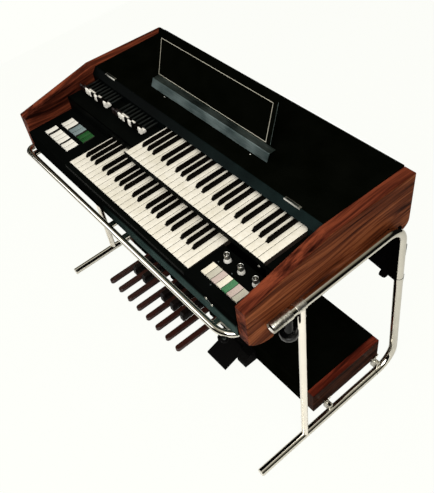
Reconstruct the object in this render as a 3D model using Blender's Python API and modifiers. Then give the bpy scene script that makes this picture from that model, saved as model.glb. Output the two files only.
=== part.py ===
"""Two-manual electronic organ on a chrome tube stand with a 13-note pedal unit.

Lengths are metres, +Z is up, +X is the player's right and +Y points away from the player.
Pieces are laid out from the key datum: the left end, front edge and top face of the lower
naturals.  DATUM then puts the centre of the floor footprint at the world origin.
"""
import math

import bmesh
import bpy
from mathutils import Matrix, Vector

for old in list(bpy.data.objects):
    bpy.data.objects.remove(old)

# Position of the key datum above the centre of the footprint
DATUM = Vector((-0.2860, -0.268116, 0.779264))
MID_X = 0.2860

# Clearances
SEAT = 0.0003
SLACK = 0.0008

# Manuals: F to C, 44 notes each
KEY_PITCH = 0.0235
KEY_GAP = 0.0010
KEY_THICK = 0.0180
KEY_COUNT = 26
KEY_BODY_LEN = 0.2030
KEY_EDGE_R = 0.0020
SHARP_FRONT = 0.0500
SHARP_WIDTH = 0.0115
SHARP_TOP_WIDTH = 0.0092
SHARP_HIGH = 0.0115
SHARP_LOW = -0.0160
SHARP_SIDE_GAP = 0.0009
TONGUE_END = KEY_BODY_LEN + 0.0070
STRIP_Y0 = KEY_BODY_LEN + 0.0030
STRIP_Y1 = KEY_BODY_LEN + 0.0130
NAT_STRIP_TOP = -0.0100
SHARP_STRIP_LOW = -0.0094
SHARP_STRIP_TOP = -0.0014
PIVOT_Y = KEY_BODY_LEN + 0.0080
PIVOT_HALF = 0.0020
UPPER_SHIFT = Vector((0.1645, 0.1190, 0.0607))
FIRST_NOTE_OF_SEVEN = 3
NOTE_SHARP_SHIFT = {0: -0.0018, 1: 0.0018, 3: -0.0026, 4: 0.0, 5: 0.0026}

# Console
INNER_HALF = 0.52985
CHEEK_T = 0.0385
CASE_FRONT = -0.0180
CASE_REAR = 0.5800
CASE_BOTTOM = -0.0736
PAN_T = 0.0060
WALL_BEHIND = 0.0150
SHEET_T = 0.0030
TOP_Z = 0.1006
TOP_FRONT = 0.2833
LEVEL1_Z = -0.0020
LEVEL1_REAR = 0.1500
LEVEL1_RIGHT_REAR = 0.1180
LEVEL2_Z = 0.0466
RISER_Y = 0.1510
RAIL_Y0 = 0.1210
RAIL_Y1 = 0.1350
RAIL_LOW = 0.0200
RAIL_TOP = 0.0320
FRONT_PLATE_T = 0.0040
SLIP_TOP = -0.0140
SLIP_REAR = -0.0020
MANUAL_END_GAP = 0.0022
FACE_Y = 0.2640
FACE_T = 0.0025
STRIP_LOW_Z = 0.0785
CHEEK_FRONT = -0.0130
CHEEK_FRONT_TOP = 0.0490
CHEEK_KINK_Y = 0.2670
CHEEK_KINK_Z = 0.1060
CHEEK_REAR_TOP = 0.0965
CHEEK_NOSE_Z = -0.1190
CHEEK_NOSE_Y = 0.0670
CHEEK_NOTCH_Z = -0.1020
CHEEK_REAR_R = 0.0300
CHEEK_EDGE_R = 0.0025

# Drawbars
BAR_PITCH = 0.0183
BAR_FIRST_A = -0.2105
BAR_FIRST_B = -0.0130
BAR_GROUP = 9
BAR_STEM_W = 0.0060
BAR_STEM_H = 0.0040
BAR_STEM_Z = 0.0680
BAR_STEM_END = 0.2900
BAR_KNOB_Y = 0.2050
BAR_KNOB_W = 0.0150
BAR_SLOT_GAP = 0.0005

# Rocking tabs
TAB_THICK = 0.0100
TAB_TOP = 0.0020
TAB_END_GAP = 0.0011
TAB_SIDE_GAP = 0.0006
TAB_EDGE_R = 0.0010
TAB_ROD_R = 0.0025
TAB_ROD_Z = -0.0140
TAB_STEM_HALF = 0.0030
TAB_RIGHT_X0 = 0.6410
TAB_RIGHT_PITCH = 0.0203
TAB_RIGHT_COUNT = 7
TAB_RIGHT_Y = (0.0175, 0.0600)
TAB_PITCH = 0.0219
TAB_FRONT_Y = (0.0205, 0.0630)
TAB_REAR_Y = (0.0800, 0.1235)
TAB_CELL_GAP = 0.0010
TAB_FRONT_STARTS = (-0.1980, -0.1660, -0.1441, -0.1222, -0.0930, -0.0711)
TAB_REAR_STARTS = (-0.1910, -0.1691, -0.1402, -0.1183, -0.0894, -0.0675)

# Rotary knobs
KNOB_X = (0.6640, 0.7180, 0.7740)
KNOB_Y = 0.0890
KNOB_R = 0.0100
KNOB_TOP = 0.0270
KNOB_SHAFT_R = 0.0030
KNOB_SHAFT_LOW = -0.0120

# Music rest
REST_X0 = -0.0150
REST_X1 = 0.5250
REST_FOOT_Y = 0.3680
REST_HIGH = 0.2620
REST_LEAN = 0.3228
REST_T = 0.0060
LEDGE_X0 = 0.0040
LEDGE_X1 = 0.5480
LEDGE_FOOT_Y = 0.3400
LEDGE_TOP_Y = 0.3520
LEDGE_TOP_Z = 0.1260
LEDGE_T = 0.0030

# Stand
TUBE_R = 0.01425
CHEEK_OUT = MID_X + INNER_HALF + CHEEK_T
FRAME_X = CHEEK_OUT + 0.01685
TUBE_Z = -0.0450
TUBE_FRONT = 0.1000
SLEEVE_R = 0.0165
SLEEVE_Y0 = 0.0450
SLEEVE_Y1 = 0.1100
COLLAR_R = 0.0158
COLLAR_Y1 = 0.1560
LEG_TOP_Y = 0.5280
LEG_FOOT_Y = 0.5780
FOOT_Z = -0.7655
FOOT_FRONT = -0.0500
UPPER_BEND = 0.0700
LOWER_BEND = 0.0750
STRUT_R = 0.0110
STRUT_Y = 0.1475
GUSSET_T = 0.0060
BRACKET_T = 0.0040
BRACKET_IN = CHEEK_OUT - 0.05835
CROSS_R = 0.0095
CROSS_Y = -0.0395
CROSS_LEG_X = CHEEK_OUT - 0.04885
CROSS_SLANT_X = CROSS_LEG_X - 0.0303
CROSS_BENDS = (0.0220, 0.0700, 0.0320)
CROSS_END = 0.1650
STUB_X = (0.2430, CROSS_LEG_X - 0.0655)
STUB_END = 0.0300
CLAMP_X = FRAME_X
CLAMP_Y = 0.1019
CLAMP_R = 0.0260
CLAMP_HUB_R = 0.0110
CLAMP_SHAFT_R = 0.0040
CLAMP_LOW = -0.1310
CLAMP_DISC_TOP = -0.1140
CLAMP_HOLE = 0.0100
PEDAL_CLAMP_Y = (0.2720, 0.5050)
PEDAL_CLAMP_TOP = -0.7320
PEDAL_CLAMP_HALF = 0.0080

# Pedal unit
PBOX_FRONT = 0.2190
PBOX_REAR = 0.5340
PBOX_TOP = -0.6500
PBOX_LOW = -0.7530
PBOX_T = 0.0060
PBOX_FLOOR_Y = 0.4000
PCHEEK_OUT = FRAME_X - 0.0312
PCHEEK_T = 0.0285
PEDAL_PITCH = 0.0637
PEDAL_X0 = -0.1110
PEDAL_W = 0.0220
PEDAL_LOW = -0.7380
PEDAL_TOP = -0.7200
PEDAL_TIP = 0.0200
PEDAL_END = 0.5080
PEDAL_PIVOT_Y = 0.5000
PEDAL_SHARP_Y0 = 0.1200
PEDAL_SHARP_Y1 = 0.2120
PEDAL_SHARP_TOP = -0.6980
PEDAL_SLOT_GAP = 0.0010
PEDAL_SLOT_TOP = -0.7165
PEDAL_SHARP_AFTER = (0, 1, 3, 4, 5)

# Expression pedal
TREADLE_X0 = 0.4070
TREADLE_X1 = 0.5100
TREADLE_FRONT = 0.1070
TREADLE_AXIS_Y = 0.1960
TREADLE_AXIS_Z = -0.7300
TREADLE_BOSS_R = 0.0070
TREADLE_T = 0.0080
TREADLE_LEAN = math.radians(18.0)
EBASE_LEFT_T = 0.0070
EBASE_RIGHT_X = 0.5560
EBASE_FRONT = 0.1650
EBASE_TOP = -0.6980


def new_collection(name):
    coll = bpy.data.collections.new(name)
    bpy.context.scene.collection.children.link(coll)
    return coll


ORGAN = new_collection("electronic_organ")
CUTTERS = new_collection("cutters")
MATERIALS = {}


def material(name, rgb, metallic, roughness):
    """Principled material, made once per name."""
    if name not in MATERIALS:
        mat = bpy.data.materials.new(name)
        mat.use_nodes = True
        shader = mat.node_tree.nodes["Principled BSDF"]
        shader.inputs["Base Color"].default_value = (*rgb, 1.0)
        shader.inputs["Metallic"].default_value = metallic
        shader.inputs["Roughness"].default_value = roughness
        mat.diffuse_color = (*rgb, 1.0)
        MATERIALS[name] = mat
    return MATERIALS[name]


BLACK_VINYL = ("black_vinyl", (0.010, 0.011, 0.010), 0.0, 0.45)
BLACK_PAINT = ("black_paint", (0.008, 0.008, 0.008), 0.0, 0.35)
SHEEN_PAINT = ("grey_green_paint", (0.030, 0.045, 0.042), 0.0, 0.40)
WALNUT = ("walnut_veneer", (0.150, 0.048, 0.020), 0.0, 0.42)
CHROME = ("chrome", (0.80, 0.80, 0.78), 1.0, 0.12)
ALUMINIUM = ("satin_aluminium", (0.42, 0.47, 0.47), 1.0, 0.38)
IVORY = ("ivory_plastic", (0.80, 0.76, 0.66), 0.0, 0.30)
EBONY = ("black_plastic", (0.006, 0.006, 0.006), 0.0, 0.25)
BROWN = ("brown_plastic", (0.060, 0.018, 0.012), 0.0, 0.35)
WHITE = ("white_plastic", (0.85, 0.83, 0.78), 0.0, 0.30)
STEEL = ("steel_pan", (0.25, 0.25, 0.25), 0.9, 0.45)


def faces_to_mesh(name, verts, faces):
    """Closed mesh with its normals turned outward."""
    mesh = bpy.data.meshes.new(name)
    bm = bmesh.new()
    made = [bm.verts.new(v) for v in verts]
    for face in faces:
        bm.faces.new([made[i] for i in face])
    bmesh.ops.recalc_face_normals(bm, faces=bm.faces)
    bm.to_mesh(mesh)
    bm.free()
    return mesh


def lift(axis, u, v, w):
    """Point of a profile (u, v) at distance w along the axis the profile is extruded on."""
    if axis == "X":
        return (w, u, v)
    if axis == "Y":
        return (u, w, v)
    return (u, v, w)


def prism(points, axis, low, high):
    """Closed body of one polygon carried along an axis."""
    count = len(points)
    verts = [lift(axis, u, v, low) for u, v in points]
    verts += [lift(axis, u, v, high) for u, v in points]
    faces = [tuple(range(count)), tuple(range(count, 2 * count))]
    for i in range(count):
        j = (i + 1) % count
        faces.append((i, j, count + j, count + i))
    return (verts, faces)


def box(x0, x1, y0, y1, z0, z1):
    return prism([(x0, y0), (x1, y0), (x1, y1), (x0, y1)], "Z", z0, z1)


def round_bar(axis, cu, cv, radius, low, high, sides=12):
    """Closed cylinder; cu and cv are its centre in the plane of the profile."""
    points = []
    for i in range(sides):
        angle = 2 * math.pi * (i + 0.5) / sides
        points.append((cu + radius * math.cos(angle), cv + radius * math.sin(angle)))
    return prism(points, axis, low, high)


def loft(rings):
    """Closed body through rings that have the same number of points."""
    count = len(rings[0])
    verts = [p for ring in rings for p in ring]
    faces = [tuple(range(count)), tuple(range(len(verts) - count, len(verts)))]
    for r in range(len(rings) - 1):
        for i in range(count):
            j = (i + 1) % count
            a = r * count
            b = a + count
            faces.append((a + i, a + j, b + j, b + i))
    return (verts, faces)


def lathe(profile, centre, sides=16):
    """Closed body of revolution about a vertical axis; profile is (radius, z) from top to bottom."""
    rings = []
    for radius, z in profile:
        ring = []
        for i in range(sides):
            angle = 2 * math.pi * i / sides
            ring.append((centre[0] + radius * math.cos(angle), centre[1] + radius * math.sin(angle), z))
        rings.append(ring)
    return loft(rings)


def arc(cx, cy, radius, start, stop, steps):
    """Points of an arc, angles in degrees."""
    points = []
    for i in range(steps + 1):
        angle = math.radians(start + (stop - start) * i / steps)
        points.append((cx + radius * math.cos(angle), cy + radius * math.sin(angle)))
    return points


def place(name, shape, look, pivot=(0.0, 0.0, 0.0), collection=None):
    """Object whose mesh is laid out from the datum and whose origin is the pivot."""
    verts, faces = shape
    base = Vector(pivot)
    mesh = faces_to_mesh(name, [Vector(v) - base for v in verts], faces)
    obj = bpy.data.objects.new(name, mesh)
    obj.location = base + DATUM
    (collection or ORGAN).objects.link(obj)
    if look:
        mesh.materials.append(material(*look))
    return obj


def merged(shapes):
    """Several closed bodies as one operand."""
    verts = []
    faces = []
    for shape_verts, shape_faces in shapes:
        start = len(verts)
        verts += list(shape_verts)
        faces += [tuple(start + i for i in face) for face in shape_faces]
    return (verts, faces)


def hide_cutter(obj):
    obj.hide_render = True
    obj.display_type = "WIRE"
    return obj


def combine(obj, shapes, operation):
    """Boolean against one operand object made of the given closed bodies."""
    pivot = obj.location - DATUM
    tool = place(obj.name + "_" + operation.lower(), merged(shapes), None, pivot, CUTTERS)
    hide_cutter(tool)
    mod = obj.modifiers.new(operation.lower(), "BOOLEAN")
    mod.operation = operation
    mod.solver = "EXACT"
    mod.use_self = True
    mod.object = tool
    return obj


def fuse(obj, shapes):
    return combine(obj, shapes, "UNION")


def cut(obj, shapes):
    return combine(obj, shapes, "DIFFERENCE")


def soften(obj, width, segments=1, angle=40.0):
    mod = obj.modifiers.new("edge", "BEVEL")
    mod.width = width
    mod.segments = segments
    mod.limit_method = "ANGLE"
    mod.angle_limit = math.radians(angle)
    mod.use_clamp_overlap = True
    return obj


def smooth(obj, degrees=35.0):
    obj.data.shade_smooth()
    obj.data.set_sharp_from_angle(angle=math.radians(degrees))
    return obj


# Manuals


def note_of(index):
    """Place of a natural in the octave counted from C: 0 is C and 6 is B."""
    return (index + FIRST_NOTE_OF_SEVEN) % 7


def sharp_centre(index):
    """Middle of the sharp that stands after natural number index, or None."""
    shift = NOTE_SHARP_SHIFT.get(note_of(index))
    if shift is None or index == KEY_COUNT - 1:
        return None
    return (index + 1) * KEY_PITCH + shift


def natural_outline(index):
    """Plan of one natural with the notches of its neighbouring sharps."""
    left = index * KEY_PITCH + KEY_GAP / 2
    right = (index + 1) * KEY_PITCH - KEY_GAP / 2
    half = SHARP_WIDTH / 2 + SHARP_SIDE_GAP
    notch_y = SHARP_FRONT - SHARP_SIDE_GAP
    before = sharp_centre(index - 1) if index > 0 else None
    after = sharp_centre(index)
    inner_left = left if before is None else before + half
    inner_right = right if after is None else after - half
    points = [(left, 0.0), (right, 0.0)]
    if after is not None:
        points += [(right, notch_y), (inner_right, notch_y)]
    points += [(inner_right, KEY_BODY_LEN), (inner_left, KEY_BODY_LEN)]
    if before is not None:
        points += [(inner_left, notch_y), (left, notch_y)]
    return points, inner_left, inner_right


def shifted(shape, offset):
    verts, faces = shape
    return ([tuple(Vector(v) + offset) for v in verts], faces)


def natural_body(index):
    """One natural whose front top edge is rounded over by a small chamfer row."""
    points, inner_left, inner_right = natural_outline(index)
    count = len(points)
    low = [(x, y, -KEY_THICK) for x, y in points]
    mid = [(x, y, -KEY_EDGE_R if y == 0.0 else 0.0) for x, y in points]
    verts = low + mid
    faces = [tuple(range(count))]
    for i in range(count):
        j = (i + 1) % count
        faces.append((i, j, count + j, count + i))
    roll = arc(KEY_EDGE_R, -KEY_EDGE_R, KEY_EDGE_R, 150.0, 90.0, 2)
    left_ids = []
    right_ids = []
    for y, z in roll:
        left_ids.append(len(verts))
        verts.append((points[0][0], y, z))
        right_ids.append(len(verts))
        verts.append((points[1][0], y, z))
    chain_left = [count] + left_ids
    chain_right = [count + 1] + right_ids
    for a in range(len(chain_left) - 1):
        faces.append((chain_left[a], chain_right[a], chain_right[a + 1], chain_left[a + 1]))
    body_ring = [count + i for i in range(2, count)]
    top = [chain_left[-1], chain_right[-1]] + body_ring
    faces.append(tuple(top))
    faces.append(tuple([count + 2] + chain_right[::-1]))
    faces.append(tuple([2 * count - 1] + chain_left))
    tongue = box(inner_left, inner_right, KEY_BODY_LEN - 0.004, TONGUE_END, -KEY_THICK, NAT_STRIP_TOP)
    return (verts, faces), tongue


def naturals(name, offset):
    """White keys of one manual on their hinge strip."""
    bodies = []
    tongues = []
    for index in range(KEY_COUNT):
        body, tongue = natural_body(index)
        bodies.append(shifted(body, offset))
        tongues.append(shifted(tongue, offset))
    strip = shifted(box(KEY_GAP / 2, KEY_COUNT * KEY_PITCH - KEY_GAP / 2, STRIP_Y0, STRIP_Y1,
                        -KEY_THICK, NAT_STRIP_TOP), offset)
    pivot = offset + Vector((KEY_COUNT * KEY_PITCH / 2, PIVOT_Y, -KEY_THICK))
    obj = place(name, strip, IVORY, pivot)
    fuse(obj, tongues)
    combine(obj, bodies, "UNION")
    return obj


def sharp_body(centre):
    """Black key with a sloped nose and drawn-in sides."""
    half = SHARP_WIDTH / 2
    top_half = SHARP_TOP_WIDTH / 2
    stations = [
        (SHARP_FRONT, 0.0015, 0.80),
        (SHARP_FRONT + 0.0020, 0.0075, 0.86),
        (SHARP_FRONT + 0.0055, 0.0105, 0.94),
        (SHARP_FRONT + 0.0110, SHARP_HIGH, 1.0),
        (KEY_BODY_LEN, SHARP_HIGH, 1.0),
    ]
    rings = []
    for y, top, factor in stations:
        rings.append([
            (centre - half, y, SHARP_LOW),
            (centre + half, y, SHARP_LOW),
            (centre + half, y, 0.0),
            (centre + top_half * factor, y, top),
            (centre - top_half * factor, y, top),
            (centre - half, y, 0.0),
        ])
    tongue = box(centre - half, centre + half, KEY_BODY_LEN - 0.004, TONGUE_END,
                 SHARP_STRIP_LOW, SHARP_STRIP_TOP)
    return loft(rings), tongue


def sharps(name, offset):
    """Black keys of one manual on their hinge strip."""
    bodies = []
    tongues = []
    centres = [sharp_centre(i) for i in range(KEY_COUNT)]
    centres = [c for c in centres if c is not None]
    for centre in centres:
        body, tongue = sharp_body(centre)
        bodies.append(shifted(body, offset))
        tongues.append(shifted(tongue, offset))
    half = SHARP_WIDTH / 2
    strip = shifted(box(centres[0] - half, centres[-1] + half, STRIP_Y0, STRIP_Y1,
                        SHARP_STRIP_LOW, SHARP_STRIP_TOP), offset)
    pivot = offset + Vector((KEY_COUNT * KEY_PITCH / 2, PIVOT_Y, SHARP_STRIP_LOW))
    obj = place(name, strip, EBONY, pivot)
    fuse(obj, tongues)
    combine(obj, bodies, "UNION")
    return obj


# Console


LEFT_IN = MID_X - INNER_HALF
RIGHT_IN = MID_X + INNER_HALF
LEFT_END = LEFT_IN + SEAT
RIGHT_END = RIGHT_IN - SEAT


def case_shell():
    """Bottom pan, walls and the cross rails under the manuals, one section through the width."""
    floor = CASE_BOTTOM + PAN_T
    front = CASE_FRONT + FRONT_PLATE_T + SEAT
    lower_rail = -KEY_THICK - SEAT
    upper_rail = lower_rail + UPPER_SHIFT.z
    upper_y = PIVOT_Y + UPPER_SHIFT.y
    wall = upper_y + WALL_BEHIND
    top = TOP_Z - SHEET_T - SEAT
    points = [
        (front, CASE_BOTTOM),
        (CASE_REAR - 0.0005, CASE_BOTTOM),
        (CASE_REAR - 0.0005, top),
        (CASE_REAR - 0.0065, top),
        (CASE_REAR - 0.0065, floor),
        (wall + PAN_T, floor),
        (wall + PAN_T, top),
        (wall, top),
        (wall, floor),
        (upper_y + PIVOT_HALF, floor),
        (upper_y + PIVOT_HALF, upper_rail),
        (upper_y - PIVOT_HALF, upper_rail),
        (upper_y - PIVOT_HALF, floor),
        (PIVOT_Y + PIVOT_HALF, floor),
        (PIVOT_Y + PIVOT_HALF, lower_rail),
        (PIVOT_Y - PIVOT_HALF, lower_rail),
        (PIVOT_Y - PIVOT_HALF, floor),
        (front + PAN_T, floor),
        (front + PAN_T, SLIP_TOP - 0.0060),
        (front, SLIP_TOP - 0.0060),
    ]
    return place("case_shell", prism(points, "X", LEFT_END, RIGHT_END), STEEL)


def cheek_outline():
    nose = [
        (CHEEK_FRONT, -0.0790),
        (0.0020, -0.0960),
        (0.0220, -0.1090),
        (0.0460, -0.1170),
        (CHEEK_NOSE_Y, CHEEK_NOSE_Z),
        (CHEEK_NOSE_Y, CHEEK_NOTCH_Z),
    ]
    rear = arc(CASE_REAR - CHEEK_REAR_R, CHEEK_NOTCH_Z + CHEEK_REAR_R, CHEEK_REAR_R, 270.0, 360.0, 5)
    top = [
        (CASE_REAR, CHEEK_REAR_TOP),
        (CHEEK_KINK_Y, CHEEK_KINK_Z),
        (CHEEK_FRONT, CHEEK_FRONT_TOP),
    ]
    return nose + rear + top


def cheek(name, inner, outer):
    obj = place(name, prism(cheek_outline(), "X", min(inner, outer), max(inner, outer)), WALNUT)
    soften(obj, CHEEK_EDGE_R, 2, 50.0)
    return obj


def top_panel():
    points = [
        (TOP_FRONT, TOP_Z - SHEET_T),
        (CASE_REAR - 0.0005, TOP_Z - SHEET_T),
        (CASE_REAR - 0.0005, TOP_Z - 0.0015),
        (CASE_REAR - 0.0020, TOP_Z),
        (TOP_FRONT, TOP_Z),
    ]
    return place("top_panel", prism(points, "X", LEFT_END, RIGHT_END), BLACK_VINYL)


def drawbar_centres():
    first = [BAR_FIRST_A + BAR_PITCH * i for i in range(BAR_GROUP)]
    second = [BAR_FIRST_B + BAR_PITCH * i for i in range(BAR_GROUP)]
    return first + second


def fallboard():
    """Upright face behind the drawbars that folds back into the sloped strip."""
    back = FACE_Y + FACE_T
    points = [
        (FACE_Y, LEVEL2_Z + SEAT),
        (back, LEVEL2_Z + SEAT),
        (back, STRIP_LOW_Z - 0.0010),
        (TOP_FRONT - SEAT, TOP_Z - FACE_T),
        (TOP_FRONT - SEAT, TOP_Z),
        (TOP_FRONT - 0.0030, TOP_Z),
        (FACE_Y - 0.0015, STRIP_LOW_Z),
        (FACE_Y, STRIP_LOW_Z - 0.0010),
    ]
    obj = place("fallboard", prism(points, "X", LEFT_END, RIGHT_END), SHEEN_PAINT)
    left = UPPER_SHIFT.x - MANUAL_END_GAP
    right = UPPER_SHIFT.x + KEY_COUNT * KEY_PITCH + MANUAL_END_GAP
    window = box(left, right, FACE_Y - 0.01, back + 0.01, LEVEL2_Z - 0.01, STRIP_LOW_Z - 0.0030)
    slots = [window]
    for x in drawbar_centres():
        w = BAR_STEM_W / 2 + BAR_SLOT_GAP
        h = BAR_STEM_H / 2 + BAR_SLOT_GAP
        slots.append(box(x - w, x + w, FACE_Y - 0.01, back + 0.01, BAR_STEM_Z - h, BAR_STEM_Z + h))
    return cut(obj, slots)


def front_panel():
    """Front plate, key slip and the two tab panels pressed and welded as one piece."""
    left_edge = -MANUAL_END_GAP
    right_edge = KEY_COUNT * KEY_PITCH + MANUAL_END_GAP
    plate_back = CASE_FRONT + FRONT_PLATE_T
    plate = box(LEFT_END, RIGHT_END, CASE_FRONT, plate_back, CASE_BOTTOM, SLIP_TOP)
    ledge = box(LEFT_END, RIGHT_END, CASE_FRONT + 0.0005, SLIP_REAR, SLIP_TOP - 0.0030, SLIP_TOP)
    shapes = [ledge]
    low = SLIP_TOP - 0.0020
    sheet = LEVEL1_Z - SHEET_T
    for x0, x1, rear, skirt in ((LEFT_END, left_edge, LEVEL1_REAR, left_edge - SHEET_T),
                                (right_edge, RIGHT_END, LEVEL1_RIGHT_REAR, right_edge)):
        shapes.append(box(x0, x1, CASE_FRONT, rear, sheet, LEVEL1_Z))
        shapes.append(box(x0, x1, CASE_FRONT, plate_back, low, LEVEL1_Z))
        shapes.append(box(skirt, skirt + SHEET_T, CASE_FRONT, rear, low, LEVEL1_Z))
    obj = place("front_panel", plate, BLACK_PAINT)
    for shape in shapes:
        fuse(obj, [shape])
    windows = []
    for x0, x1, y0, y1 in tab_windows():
        windows.append(box(x0, x1, y0, y1, LEVEL1_Z - 0.01, LEVEL1_Z + 0.01))
    for x in KNOB_X:
        windows.append(round_bar("Z", x, KNOB_Y, KNOB_SHAFT_R + SEAT, LEVEL1_Z - 0.01, LEVEL1_Z + 0.01))
    groove = box(LEFT_END - 0.01, RIGHT_END + 0.01, CASE_FRONT - 0.005, CASE_FRONT + 0.0012, -0.0540, -0.0520)
    windows.append(groove)
    return cut(obj, windows)


def upper_panel():
    """Drawbar deck, riser, rail between the manuals and filler at the right end."""
    left_edge = UPPER_SHIFT.x - MANUAL_END_GAP
    right_edge = UPPER_SHIFT.x + KEY_COUNT * KEY_PITCH + MANUAL_END_GAP
    t = SHEET_T
    rear = FACE_Y - SEAT
    deck_low = LEVEL2_Z - t
    rail = box(left_edge - t, RIGHT_END, RAIL_Y0, RAIL_Y1, RAIL_LOW, RAIL_TOP)
    shapes = [
        box(LEFT_END, left_edge, RISER_Y, rear, deck_low, LEVEL2_Z),
        box(LEFT_END, left_edge, RISER_Y, RISER_Y + t, RAIL_LOW, LEVEL2_Z),
        box(LEFT_END, -MANUAL_END_GAP - t, RISER_Y, RISER_Y + t, LEVEL1_Z - t, RAIL_LOW + t),
        box(left_edge - t, left_edge, RAIL_Y0, RISER_Y + t, RAIL_LOW, LEVEL2_Z),
        box(right_edge, RIGHT_END, RAIL_Y0, rear, deck_low, LEVEL2_Z),
        box(right_edge, RIGHT_END, RAIL_Y0, RAIL_Y0 + t, LEVEL1_Z - t, LEVEL2_Z),
    ]
    obj = place("upper_panel", rail, BLACK_PAINT)
    for shape in shapes:
        fuse(obj, [shape])
    return obj


def rest_front(z):
    return REST_FOOT_Y + REST_LEAN * (z - TOP_Z)


def music_rest_panel():
    foot = TOP_Z + SEAT
    points = [
        (rest_front(foot), foot),
        (rest_front(foot) + REST_T, foot),
        (rest_front(REST_HIGH) + REST_T, REST_HIGH),
        (rest_front(REST_HIGH), REST_HIGH),
    ]
    return place("music_rest_panel", prism(points, "X", REST_X0, REST_X1), BLACK_PAINT)


def music_rest_ledge():
    """Bent strip: sloped face in front, flat shelf that meets the leaning panel."""
    foot = TOP_Z + SEAT
    end = rest_front(LEDGE_TOP_Z - LEDGE_T) - SEAT
    points = [
        (LEDGE_FOOT_Y, foot),
        (LEDGE_FOOT_Y + LEDGE_T, foot),
        (LEDGE_TOP_Y + LEDGE_T, LEDGE_TOP_Z - LEDGE_T),
        (end, LEDGE_TOP_Z - LEDGE_T),
        (end, LEDGE_TOP_Z),
        (LEDGE_TOP_Y, LEDGE_TOP_Z),
    ]
    return place("music_rest_ledge", prism(points, "X", LEDGE_X0, LEDGE_X1), ALUMINIUM)


def drawbar(number, x):
    """Flat stem with a saddle-shaped finger knob, pulled out at rest."""
    y = BAR_KNOB_Y
    profile = [
        (y - 0.0090, 0.0650), (y + 0.0095, 0.0640), (y + 0.0105, 0.0700), (y + 0.0095, 0.0740),
        (y + 0.0060, 0.0750), (y + 0.0020, 0.0735), (y - 0.0020, 0.0785), (y - 0.0050, 0.0865),
        (y - 0.0085, 0.0865), (y - 0.0105, 0.0720),
    ]
    w = BAR_KNOB_W / 2
    s = BAR_STEM_W / 2
    h = BAR_STEM_H / 2
    knob = prism(profile, "X", x - w, x + w)
    stem = box(x - s, x + s, y + 0.0060, BAR_STEM_END, BAR_STEM_Z - h, BAR_STEM_Z + h)
    light = (number % BAR_GROUP) in (2, 3, 5, 8)
    obj = place("drawbar_%02d" % (number + 1), knob, WHITE if light else BROWN, (x, y, BAR_STEM_Z))
    fuse(obj, [stem])
    return obj


def tab_spans(starts, pitch):
    return [(s, s + pitch - TAB_CELL_GAP) for s in starts]


def tab_rows():
    right = [TAB_RIGHT_X0 + TAB_RIGHT_PITCH * i for i in range(TAB_RIGHT_COUNT)]
    return [
        ("tabs_right", tab_spans(right, TAB_RIGHT_PITCH), TAB_RIGHT_Y),
        ("tabs_left_front", tab_spans(TAB_FRONT_STARTS, TAB_PITCH), TAB_FRONT_Y),
        ("tabs_left_rear", tab_spans(TAB_REAR_STARTS, TAB_PITCH), TAB_REAR_Y),
    ]


def tab_windows():
    rows = []
    for _name, spans, (y0, y1) in tab_rows():
        x0 = spans[0][0] - TAB_SIDE_GAP
        x1 = spans[-1][1] + TAB_SIDE_GAP
        rows.append((x0, x1, y0 - TAB_END_GAP, y1 + TAB_END_GAP))
    return rows


def tab_row(name, spans, ys):
    """Rocking tabs of one row on their pivot rod."""
    y0, y1 = ys
    mid = (y0 + y1) / 2
    x0 = spans[0][0]
    x1 = spans[-1][1]
    rod = round_bar("X", mid, TAB_ROD_Z, TAB_ROD_R, x0, x1, 8)
    obj = place(name, rod, IVORY, ((x0 + x1) / 2, mid, TAB_ROD_Z))
    shapes = []
    for a, b in spans:
        e = TAB_EDGE_R
        low = TAB_TOP - TAB_THICK
        high = TAB_TOP
        profile = [
            (y0 + e, low), (y1 - e, low), (y1, low + e), (y1, high - e), (y1 - e, high),
            (mid, high - 0.0012), (y0 + e, high), (y0, high - e), (y0, low + e),
        ]
        shapes.append(prism(profile, "X", a, b))
    fuse(obj, shapes)
    stems = []
    for a, b in spans:
        stems.append(box(a + 0.004, b - 0.004, mid - TAB_STEM_HALF, mid + TAB_STEM_HALF,
                         TAB_ROD_Z, TAB_TOP - TAB_THICK + 0.002))
    combine(obj, stems, "UNION")
    return obj


def rotary_knob(number, x):
    seat = LEVEL1_Z + SEAT
    profile = [
        (0.0066, KNOB_TOP),
        (0.0074, KNOB_TOP - 0.0010),
        (0.0080, KNOB_TOP - 0.0140),
        (KNOB_R, KNOB_TOP - 0.0170),
        (KNOB_R, seat),
        (KNOB_SHAFT_R, seat),
        (KNOB_SHAFT_R, KNOB_SHAFT_LOW),
    ]
    shape = lathe(profile, (x, KNOB_Y), 16)
    return place("rotary_knob_%d" % number, shape, ALUMINIUM, (x, KNOB_Y, seat))


# Stand


def fillet(points, radii, steps=6):
    """Path with its corners replaced by arcs."""
    path = [Vector(points[0])]
    for i in range(1, len(points) - 1):
        corner = Vector(points[i])
        before = (Vector(points[i - 1]) - corner).normalized()
        after = (Vector(points[i + 1]) - corner).normalized()
        half = before.angle(after) / 2
        reach = radii[i - 1] / math.tan(half)
        centre = corner + (before + after).normalized() * (radii[i - 1] / math.sin(half))
        start = corner + before * reach - centre
        stop = corner + after * reach - centre
        total = start.angle(stop)
        axis = start.cross(stop).normalized()
        for s in range(steps + 1):
            path.append(centre + Matrix.Rotation(total * s / steps, 3, axis) @ start)
    path.append(Vector(points[-1]))
    return path


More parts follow.
